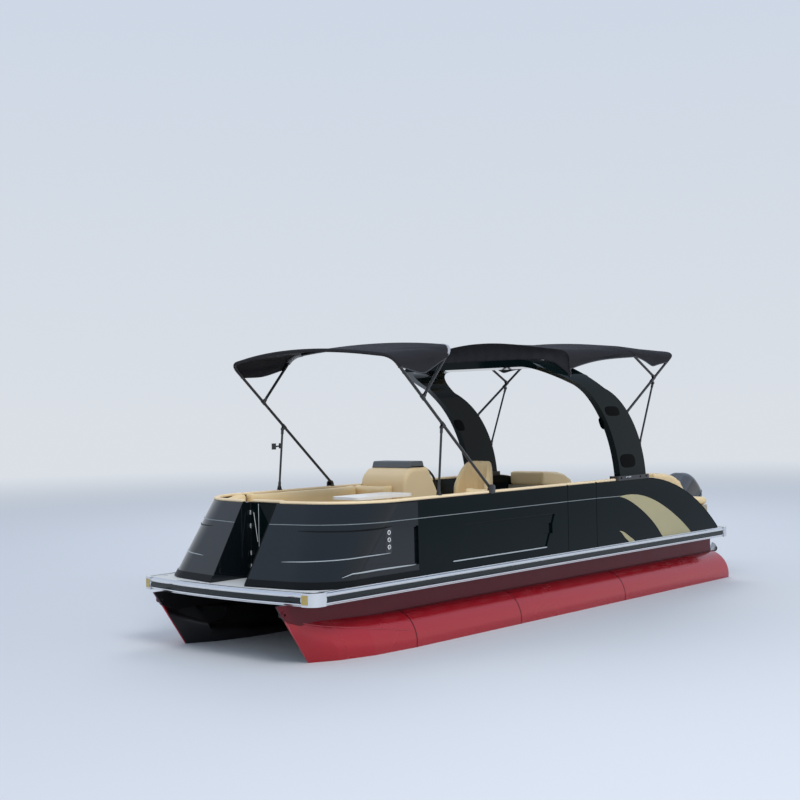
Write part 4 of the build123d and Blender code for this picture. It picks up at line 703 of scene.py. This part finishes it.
def hoop_arc(foot, corner, half, rise, ramp, side, centre, count=80):
    """A hoop's crown, from the start of its port bend to the end of its starboard one, with its outward
    directions and the direction of its legs. Crown and bends are arcs that touch the straight runs, drawn out
    as its tube is."""
    leg = np.array([corner[0], 0, corner[1]]) - foot
    reach = np.linalg.norm(leg)
    leg /= reach
    run = tube_bend / tan((pi / 2 + atan2(rise, half)) / 2)
    flat = rounded_line(
        [(half, reach - run), (half, reach), (0, reach + rise), (-half, reach), (-half, reach - run)],
        [tube_bend - 1e-4, crown_bend, tube_bend - 1e-4], count,
    )
    crown = foot + flat[:, :1] * (0, 1, 0) + flat[:, 1:] * leg
    crown = drawn_out(crown, foot, leg, ramp, side, centre, half)
    along = np.gradient(crown, axis=0)
    outward = np.cross(np.cross(leg, (0, 1, 0)), along)
    outward *= np.sign(outward[count // 2] @ leg)
    return crown, outward / np.linalg.norm(outward, axis=1, keepdims=True), leg


def sheet_between(first, second, drapes, pockets, sag=0.02, rows=34, hang=12, radius=0.019):
    """Canvas between two hoops. A point is a blend of the hoops' crowns, held off them by the tube's radius
    square to the stretch, with a pocket wrapped round each hoop as an arc. drapes give how far each side
    hangs, at the hoops and between them. Creases fan out of the second hoop's corners."""
    (a, a_out, a_leg), (b, b_out, b_leg) = first, second
    stretch = (b - a) / np.linalg.norm(b - a, axis=1, keepdims=True)
    wraps = [np.linspace(radians(150), 0, 7)[:-1] if pocket else np.array([]) for pocket in pockets]
    t = np.concatenate([np.zeros(len(wraps[0])), np.linspace(0, 1, rows), np.ones(len(wraps[1]))])
    turn = np.concatenate([-wraps[0], np.zeros(rows), wraps[1][::-1]])
    blend = t[:, None, None]
    crown = a * (1 - blend) + b * blend
    lift = a_out * (1 - blend) + b_out * blend
    lift = lift - (lift * stretch).sum(-1, keepdims=True) * stretch
    lift /= np.linalg.norm(lift, axis=-1, keepdims=True)
    turn = turn[:, None, None]
    crown = crown + radius * (np.cos(turn) * lift + np.sin(turn) * stretch)
    across = np.linspace(0, 1, crown.shape[1])
    bulge = np.sin(pi * t)[:, None]
    crown = crown - (sag * bulge * np.sin(pi * across) ** 0.5)[..., None] * lift
    for corner in (0.0, 1.0):
        from_side, from_hoop = abs(across - corner)[None] * 2.6, (1 - t)[:, None] * 0.8
        away = np.hypot(from_side, from_hoop)
        fan = np.sin(11 * np.arctan2(from_hoop, from_side + 1e-3)) * np.exp(-((away - 0.35) / 0.3) ** 2)
        crown = crown + (0.006 * fan * bulge**0.5)[..., None] * lift
    ripple = np.sin(9 * across[None] + 5 * t[:, None]) * np.sin(23 * across[None] - 8 * t[:, None])
    crown = crown + (0.0025 * ripple * bulge)[..., None] * lift
    leg = a_leg * (1 - t[:, None]) + b_leg * t[:, None]
    leg /= np.linalg.norm(leg, axis=1, keepdims=True)
    sides = []
    for edge, (at_hoops, between) in ((0, drapes[0]), (-1, drapes[1])):
        depth = at_hoops + (between - at_hoops) * np.sin(pi * t) ** 0.8
        share = np.linspace(0, 1, hang + 1)[1:]
        fall = crown[:, edge][:, None] - (depth[:, None] * share)[..., None] * leg[:, None]
        tuck = 0.010 * np.sin(pi * share)[None] * np.sin(pi * t)[:, None] * (1 + 0.6 * np.sin(12 * t))[:, None]
        sides.append(fall - tuck[..., None] * np.sign(crown[:, edge][:, None, 1:2]) * np.array((0, 1, 0)))
    return np.concatenate([sides[0][:, ::-1], crown, sides[1]], 1)


def cloth(name, grid):
    """A canvas piece of one sheet, thickened evenly."""
    piece = build(name, [grid], canvas, around=False, ends=False)
    thick = piece.modifiers.new("Thickness", "SOLIDIFY")
    thick.thickness, thick.offset = 0.002, 0
    return piece


front_half, rear_half = 1.1975, 1.1775
hoop_shapes = {
    # node: pivot, corner, half width, rise, ramp, drawn out at the sides and in the middle, body
    "front_canopy_hoop": (
        (aft + 5.24, 1.806), (aft + 6.70, 3.125), front_half, 0.32, (1.52, 1.79), 0.119, 0.067, "front_hoop",
    ),
    "front_canopy_second_hoop": (
        (3.17276, 2.81092), (aft + 5.95, 3.20), front_half, 0.35, (0.06, 0.34), 0.155, 0.050,
        "front_second_hoop",
    ),
    "rear_canopy_hoop": (
        (-0.72381, 2.58466), (aft + 1.375, 3.24), rear_half, 0.30, (0.86, 1.04), 0.175, 0.145, "rear_hoop",
    ),
    "rear_canopy_second_hoop": (
        (-1.36706, 3.04141), (aft + 2.20, 3.285), rear_half, 0.25, (0.06, 0.33), 0.198, 0.198,
        "rear_second_hoop",
    ),
}
hoops = {}
for node, (pivot, corner, half, rise, ramp, side, centre, body) in hoop_shapes.items():
    foot = np.array([pivot[0], 0, pivot[1]])
    hoops[node] = hoop_arc(foot, corner, half, rise, ramp, side, centre)
    mesh = nodes[node].data.copy()
    mesh.transform(nodes[node].matrix_world)
    points = drawn_out(points_of(mesh), foot, hoops[node][2], ramp, side, centre, half)
    mesh.vertices.foreach_set("co", points.ravel())
    tube = placed(f"{node}_tube", mesh)
    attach(tube, body)
    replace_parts(tube, node)
front_main, front_second, rear_main, rear_second = hoops.values()
front_grid = sheet_between(front_main, front_second, ((0.06, 0.145), (0.10, 0.10)), (True, True))
rear_grid = sheet_between(rear_second, rear_main, ((0.10, 0.13), (0.10, 0.13)), (False, True), sag=0.015)

# The rear canopy's fore part ends in a line over the arch, from which a curtain falls to the arch's top
edge_half = 1.1475
edge_line = rounded_line(
    [(edge_half, 3.20), (edge_half, 3.31), (0, 3.48), (-edge_half, 3.31), (-edge_half, 3.20)],
    [0.10, crown_bend, 0.10], 80,
)
edge_crown = np.column_stack([aft + 3.80 - 0.12 * abs(edge_line[:, 0]) ** 3, edge_line])
edge_out = np.cross(np.gradient(edge_crown, axis=0), ahead)
edge_out *= np.sign(edge_out[40, 2])
edge_out /= np.linalg.norm(edge_out, axis=1, keepdims=True)
fore_grid = sheet_between(
    (edge_crown, edge_out, upward), rear_second, ((0.10, 0.04), (0.10, 0.04)), (False, False), radius=0.017
)
front_edge = fore_grid[0]
arch_top, arch_bend = 3.225, 0.43
past_bend = np.clip(abs(front_edge[:, 1]) - (fence_y - arch_bend), 0, arch_bend)
curtain_foot = arch_top - arch_bend + np.sqrt(arch_bend**2 - past_bend**2) + 0.006
curtain_foot = np.minimum(curtain_foot, front_edge[:, 2] - 0.004)
fall = np.linspace(1, 0, 8)[:-1, None]
curtain = front_edge * (1, 1, 0) + (curtain_foot * fall + front_edge[:, 2] * (1 - fall))[..., None] * upward
curtain[..., 0] -= 0.03 * np.sin(pi * fall) + 0.012 * fall * np.sin(40 * front_edge[:, 1])
fore_grid = np.concatenate([curtain, fore_grid])
canopies = (
    # name, surface, node, and what it rests on
    ("front_canopy_cloth", front_grid, "front_canopy", ["front_canopy_hoop", "front_canopy_second_hoop"]),
    ("rear_canopy_cloth", rear_grid, "rear_canopy", ["rear_canopy_hoop", "rear_canopy_second_hoop"]),
    ("rear_canopy_fore_cloth", fore_grid, "rear_canopy", ["rear_canopy_second_hoop", "arch"]),
)
sewn = {}
for name, grid, node, rests in canopies:
    piece = cloth(name, grid)
    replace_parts(piece, node)
    hems = [sweep(grid[:, side], oval(0.0045, 0.006, 10)) for side in (0, -1)]
    sewn[name] = [piece, build(f"{name}_hems", hems, canvas_edge)]
crown, outward, leg = front_second
# Light grey sleeves round the second hoop's bends: painted highlights on the tube.
bend_highlights = [sweep(part, oval(0.0245, 0.0245, 16), up=np.cross(leg, to_port)) for part in (crown[:8], crown[-8:])]
sewn["front_canopy_cloth"].append(build("front_canopy_bend_highlights", bend_highlights, bend_highlight_grey))
for piece in sewn["front_canopy_cloth"]:
    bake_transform(piece)
for piece in sewn["rear_canopy_cloth"]:
    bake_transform(piece)
for piece in sewn["rear_canopy_fore_cloth"]:
    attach(piece, "rear_second_hoop")
    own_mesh(piece)
for name, grid, node, rests in canopies:
    piece, *others = sewn[name]

# Seats: moulded bases in warm grey, and foam cushions under tan vinyl, which is drawn in at the edges and
# full in the middle.
seat_base = finish("Lounge base", (0.40, 0.34, 0.25), 0.5, patch=(2.0, 0.1))
seat_vinyl = finish("Cushion vinyl", (0.80, 0.60, 0.32), 0.45, patch=(2.0, 0.12), grain=(600.0, 0.15))
wear(seat_base, "lounge_bases", "stern_bases")
wear(seat_vinyl, "lounge_cushions", "stern_cushions", "bow_corner_backs")


def loose_parts(node):
    """A node's separate pieces on the port side, as pairs of points and faces. Points joined by edges are in
    one piece, and the pieces come in the order of their first points."""
    whole = bmesh.new()
    whole.from_mesh(nodes[node].data)
    bmesh.ops.remove_doubles(whole, verts=whole.verts, dist=1e-5)
    seen, parts = set(), []
    for start in whole.verts:
        if start in seen:
            continue
        seen.add(start)
        group = [start]
        for vertex in group:
            near = [link.other_vert(vertex) for link in vertex.link_edges]
            group += [other for other in near if other not in seen]
            seen.update(near)
        if min(v.co.y for v in group) > 0:
            order = {v: i for i, v in enumerate(group)}
            faces = [[order[v] for v in face.verts] for face in whole.faces if face.verts[0] in order]
            parts.append((np.array([v.co[:] for v in group]), faces))
    whole.free()
    return parts


def apply_modifiers(piece):
    """Leaves a piece with the mesh that its modifiers make."""
    made = bpy.data.meshes.new_from_object(piece.evaluated_get(bpy.context.evaluated_depsgraph_get()))
    piece.modifiers.clear()
    piece.data = made


def inflate(name, points, faces, voxel=0.016, pressure=4.0, reach=0.022, frames=16):
    """A cushion blown up from a plain solid: its form a little smaller, remeshed evenly, its cover held back at
    the edges by its stiffness, and its crown never further out than reach."""
    middle, half = (points.min(0) + points.max(0)) / 2, (points.max(0) - points.min(0)) / 2
    small = middle + (points - middle) * (1 - 0.010 / half)
    mesh = bpy.data.meshes.new(name)
    mesh.from_pydata(small.tolist(), [], faces)
    piece = placed(name, mesh)
    remesh = piece.modifiers.new("Remesh", "REMESH")
    remesh.mode, remesh.voxel_size = "VOXEL", voxel
    apply_modifiers(piece)
    base = points_of(piece.data)
    stuffing = piece.modifiers.new("Cloth", "CLOTH")
    settings = stuffing.settings
    settings.quality, settings.mass = 5, 0.3
    settings.tension_stiffness = settings.compression_stiffness = 25
    settings.bending_stiffness = 0.6
    settings.use_pressure, settings.uniform_pressure_force = True, pressure
    settings.effector_weights.gravity = 0
    stuffing.point_cache.frame_start, stuffing.point_cache.frame_end = 1, frames
    for moment in range(1, frames + 1):
        bpy.context.scene.frame_set(moment)
    apply_modifiers(piece)
    bpy.context.scene.frame_set(1)
    moved = points_of(piece.data) - base
    size = np.linalg.norm(moved, axis=1, keepdims=True)
    base = base + moved * np.minimum(1, reach / np.maximum(size, 1e-9))
    base = np.clip(base, points.min(0) - 0.006, points.max(0) + 0.006)
    piece.data.vertices.foreach_set("co", base.ravel())
    soften = piece.modifiers.new("Soften", "SMOOTH")
    soften.iterations, soften.factor = 4, 0.5
    apply_modifiers(piece)
    piece.data.shade_smooth()
    return piece


def other_side(piece):
    """A starboard copy of a finished port piece."""
    mesh = piece.data.copy()
    mesh.transform(Matrix.Diagonal((1, -1, 1, 1)))
    mesh.flip_normals()
    return placed(f"{piece.name}_starboard", mesh)


for node in ("lounge_cushions", "bow_corner_backs", "stern_cushions"):
    for number, (points, faces) in enumerate(loose_parts(node)):
        pad = inflate(f"{node}_{number}", points, faces)
        pad.data.materials.append(seat_vinyl)
        for piece in (pad, other_side(pad)):
            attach(piece, "boat")
            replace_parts(piece, node)


# Helm: a moulded tan console with rounded edges and a grey dash with gauges, a three-spoke wheel on its
# slope, and a tan bucket chair in a dark shell on a steel post.
console_tan = finish("Console tan", (0.76, 0.58, 0.33), 0.4, patch=(1.5, 0.06))
dash_grey = finish("Dash grey", (0.085, 0.095, 0.10), 0.45, patch=(3.0, 0.2))
black_grip = finish("Black grip", (0.010, 0.010, 0.010), 0.45)
gauge_face = finish("Gauge face", (0.012, 0.012, 0.014), 0.1, coat=1.0)
shell_dark = finish("Chair shell", (0.035, 0.028, 0.022), 0.45)
wear(console_tan, "helm_console")
wear(dash_grey, "helm_dash")
wear(black_grip, "steering_wheel")
wear(stainless, "chair_post")
wear(black_tube, "chair_frame")
wear(shell_dark, "chair_bucket")


def moulded(name, corners, radii, ends, rounding, material):
    """A box moulded across the boat, in place of its node: a side outline with rounded corners, carried from
    one end to the other and drawn in at both by quarter rounds, square to its own line."""
    outline = rounded_line(corners, radii, 121)
    along = np.gradient(outline, axis=0)
    along[0] = along[-1] = along[0] + along[-1]
    inward = np.column_stack([-along[:, 1], along[:, 0]]) / np.linalg.norm(along, axis=1, keepdims=True)
    turn = np.linspace(0, pi / 2, 8)
    step, drawn = rounding * (1 - np.cos(turn)), rounding * (1 - np.sin(turn))
    across = np.concatenate([ends[0] + step, ends[1] - step[::-1]])
    inset = np.concatenate([drawn, drawn[::-1]])
    rows = outline[None, :-1] + inset[:, None, None] * inward[None, :-1]
    grid = np.stack([rows[..., 0] + aft, np.broadcast_to(across[:, None], rows.shape[:2]), rows[..., 1]], -1)
    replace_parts(build(f"{name}_shell", [grid], material, "boat"), name)


moulded(
    "helm_console",
    [(4.45, 0.972), (4.783, 0.972), (4.783, 1.86), (4.64, 1.968), (4.33, 1.968), (4.10, 1.56), (4.10, 1.50),
     (4.16, 1.44), (4.16, 0.972), (4.45, 0.972)],
    [0.02, 0.17, 0.17, 0.05, 0.03, 0.03, 0.03, 0.02], (-1.158, -0.432), 0.05, console_tan,
)
moulded(
    "helm_dash",
    [(4.50, 1.962), (4.63, 1.962), (4.60, 2.044), (4.38, 2.044), (4.355, 1.962), (4.50, 1.962)],
    [0.01, 0.025, 0.02, 0.01], (-1.11, -0.48), 0.02, dash_grey,
)
face_out, face_up = np.array((-0.872, 0, 0.489)), np.array((0.489, 0, 0.872))
gauge = ((0.036, -0.001), (0.036, 0.004), (0.031, 0.006), (0.0305, 0.003), (0.001, 0.003))
gauges = [turned((aft + 4.272, y, 1.868), gauge, to_port, face_up, face_out) for y in (-0.60, -0.70, -0.80)]
build("dash_gauges", gauges, gauge_face, "boat")
boss = ((0.034, 0.004), (0.034, 0.014), (0.028, 0.019), (0.012, 0.021), (0.001, 0.0212))
hub = turned((aft + 4.1321, -0.70, 1.8115), boss, to_port, face_up, face_out)
build("wheel_hub", [hub], stainless, "steering_wheel")

# The chair's padding: a cushion in the bucket and a padded band round its inside, sewn in panels
chair_at = np.array((aft + 3.26, -0.64, 0))
seat_steps = np.array([
    (0.001, 1.452), (0.35, 1.456), (0.65, 1.454), (0.82, 1.449), (0.92, 1.440), (0.96, 1.424), (0.955, 1.40),
    (0.93, 1.385), (0.001, 1.380),
]) * (0.285, 1)
seat_pad = turned(chair_at, seat_steps, count=96)
seat_pad = build("chair_seat_pad", [seat_pad], seat_vinyl, "helm_chair")
first, last, seat_line = radians(84), radians(276), 1.445
turn = np.linspace(first, last, 120)[:, None]
from_end = np.minimum(turn - first, last - turn)
seams = 1 - 0.12 * np.exp(-((((turn - first) / radians(24)) % 1 - 0.5) / 0.05) ** 2)
top = 1.44 + (1.985 - 1.44) * (0.42 + 0.58 * np.sin(np.clip(from_end / radians(60), 0, 1) * pi / 2))
narrow = np.sqrt(np.clip(1 - (1 - np.clip(from_end / radians(5), 0.02, 1)) ** 2, 0, 1))
section = oval(1.0, 1.0, 28, 3.0)
radial = 0.242 + section[:, 0] * 0.040 * seams * narrow
height = (top + seat_line) / 2 + section[:, 1] * (top - seat_line) / 2 * (0.55 + 0.45 * narrow)
band = np.stack([chair_at[0] + radial * np.cos(turn), chair_at[1] + radial * np.sin(turn), height], -1)
back_pad = build("chair_back_pad", [band], seat_vinyl, "helm_chair")
for pad in (seat_pad, back_pad):
    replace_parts(pad, "chair_bucket")
pan_steps = np.array([
    (0.001, 1.342), (0.75, 1.342), (0.93, 1.352), (0.99, 1.372), (0.99, 1.392), (0.90, 1.394), (0.001, 1.392)
]) * (0.288, 1)
pan = build("chair_pan", [turned(chair_at, pan_steps, count=96)], shell_dark, "helm_chair")
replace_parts(pan, "chair_bucket")

# Table: a white moulded top with rounded corners on its fixed post. It is drawn as the CAD has it, in a
# plain white finish.
white_top = finish("White top", (0.80, 0.79, 0.76), 0.3, coat=0.3, patch=(2.0, 0.04))
wear(white_top, "bow_table")

# Outboard motor: a gloss black cowl on a black midsection, tilted up clear of the water. A
# seam runs round the cowl, and above a line its crown is a lighter, bluer black: a painted sky reflection.
motor_black = finish("Motor black", (0.010, 0.010, 0.011), 0.14, coat=0.8)
motor_metal = finish("Motor metal", (0.014, 0.014, 0.016), 0.35, metallic=0.2)
wear(motor_black, "motor_cowl")
wear(motor_metal, "motor_clamps", "motor_swivel", "motor_midsection", "motor_gearcase")
wear(stainless, "propeller")
motor_up, motor_fore = np.array((0.6157, 0, 0.7880)), np.array((0.7880, 0, -0.6157))
tilt_axis = np.array((aft - 0.752, 0, 0.738))
cowl_skin = skin("motor_cowl")


def cowl_ring(height):
    """A closed line round the cowl at a height along the motor, found from outside in every direction."""
    low, high = (np.array(corner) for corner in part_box("motor_cowl")[:2])
    middle = (low + high) / 2
    middle = middle + motor_up * (height - (middle - tilt_axis) @ motor_up)
    ways = circle(np.zeros(3), 1, motor_fore, to_port, 73)[:-1]
    hits = [cowl_skin.ray_cast(Vector(middle + way * 1.5), Vector(-way))[0] for way in ways]
    points = [np.array(hit) for hit in hits if hit is not None]
    return np.array(points + points[:1])


cowl_heights = (points_of(nodes["motor_cowl"].data) - tilt_axis) @ motor_up
cowl_foot, cowl_tall = cowl_heights.min(), np.ptp(cowl_heights)
seam_share, painted_sheen_share = 0.30, 0.80
seam = sweep(cowl_ring(cowl_foot + seam_share * cowl_tall), oval(0.006, 0.003, 8), up=motor_up)
build("cowl_seam", [seam], edge_black, "outboard")
# Above this height the cowl's crown is lighter: painted sky reflection.
painted_sheen_from = float(tilt_axis @ motor_up + cowl_foot + painted_sheen_share * cowl_tall)
colour_past_line(motor_black, (0.05, 0.055, 0.062), tuple(motor_up), painted_sheen_from, 0.01)

# Camera: at the photograph's place, 13 m from the bow on the port side and 2.35 m above the water. It was
# solved from the boat's own straight lines.
eye = Vector((aft + 16.46963, 9.88764, waterline + 2.35359))
yaw, pitch, roll = -2.415978, 0.010329, -0.020763
forward = Vector((cos(yaw) * cos(pitch), sin(yaw) * cos(pitch), sin(pitch)))
level = Vector((sin(yaw), -cos(yaw), 0))
right = level * cos(roll) + level.cross(forward) * sin(roll)
camera = placed("Camera", bpy.data.cameras.new("Camera"))
camera.data.lens, camera.data.clip_end = 58.9185, 400
facing = Matrix((right, right.cross(forward), -forward)).transposed()
camera.matrix_world = Matrix.Translation(eye) @ facing.to_4x4()
bpy.context.scene.camera = camera

# Studio: a wide pale floor at the waterline that fades into a pale world, and two large soft lamps. The
# world turns bluer upwards, and the lamps don't show in reflections.
floor_mesh = bpy.data.meshes.new("Floor")
floor_corners = [(x, y, waterline) for x, y in ((-90, -90), (90, -90), (90, 90), (-90, 90))]
floor_mesh.from_pydata(floor_corners, [], [(0, 1, 2, 3)])
placed("Floor", floor_mesh)
floor_pale = finish("Floor", (0.62, 0.63, 0.64), 0.9, patch=(0.3, 0.02), grain=(5.0, 0.0))
floor_mesh.materials.append(floor_pale)
tree = floor_pale.node_tree
shader, surface = tree.nodes["Principled BSDF"], tree.nodes["Material Output"]
place, far, fade, haze = (
    tree.nodes.new(f"ShaderNode{kind}") for kind in ("TexCoord", "VectorMath", "MapRange", "Emission")
)
far.operation = "LENGTH"
fade.interpolation_type = "SMOOTHSTEP"
fade.inputs["From Min"].default_value, fade.inputs["From Max"].default_value = 9, 45
horizon = (0.70, 0.74, 0.79)
haze.inputs["Color"].default_value = (*horizon, 1)
mixed = tree.nodes.new("ShaderNodeMixShader")
tree.links.new(place.outputs["Object"], far.inputs[0])
tree.links.new(far.outputs["Value"], fade.inputs["Value"])
tree.links.new(fade.outputs["Result"], mixed.inputs["Fac"])
tree.links.new(shader.outputs["BSDF"], mixed.inputs[1])
tree.links.new(haze.outputs["Emission"], mixed.inputs[2])
tree.links.new(mixed.outputs[0], surface.inputs["Surface"])
world = bpy.data.worlds.new("Studio")
bpy.context.scene.world = world
world.use_nodes = True
tree = world.node_tree
backdrop = tree.nodes["Background"]
place, split, climb, shade = (
    tree.nodes.new(f"ShaderNode{kind}") for kind in ("TexCoord", "SeparateXYZ", "MapRange", "Mix")
)
shade.data_type = "RGBA"
climb.inputs["From Min"].default_value, climb.inputs["From Max"].default_value = 0.0, 0.7
shade.inputs["A"].default_value = (*horizon, 1)
shade.inputs["B"].default_value = (0.50, 0.60, 0.78, 1)
tree.links.new(place.outputs["Generated"], split.inputs[0])
tree.links.new(split.outputs["Z"], climb.inputs["Value"])
tree.links.new(climb.outputs["Result"], shade.inputs["Factor"])
tree.links.new(shade.outputs["Result"], backdrop.inputs["Color"])
backdrop.inputs["Strength"].default_value = 1.0
# lamp: place, size, watts
for spot, size, power in (((9, 12, 15), 8, 1900), ((-10, -9, 16), 10, 1200)):
    lamp = bpy.data.lights.new("Softbox", "AREA")
    lamp.size, lamp.energy = size, power
    holder = placed("Softbox", lamp)
    aim = (Vector(spot) - Vector((0, 0, 1))).to_track_quat("Z", "Y")
    holder.matrix_world = Matrix.Translation(spot) @ aim.to_matrix().to_4x4()
    holder.visible_glossy = False
bpy.context.scene.view_settings.view_transform = "Standard"
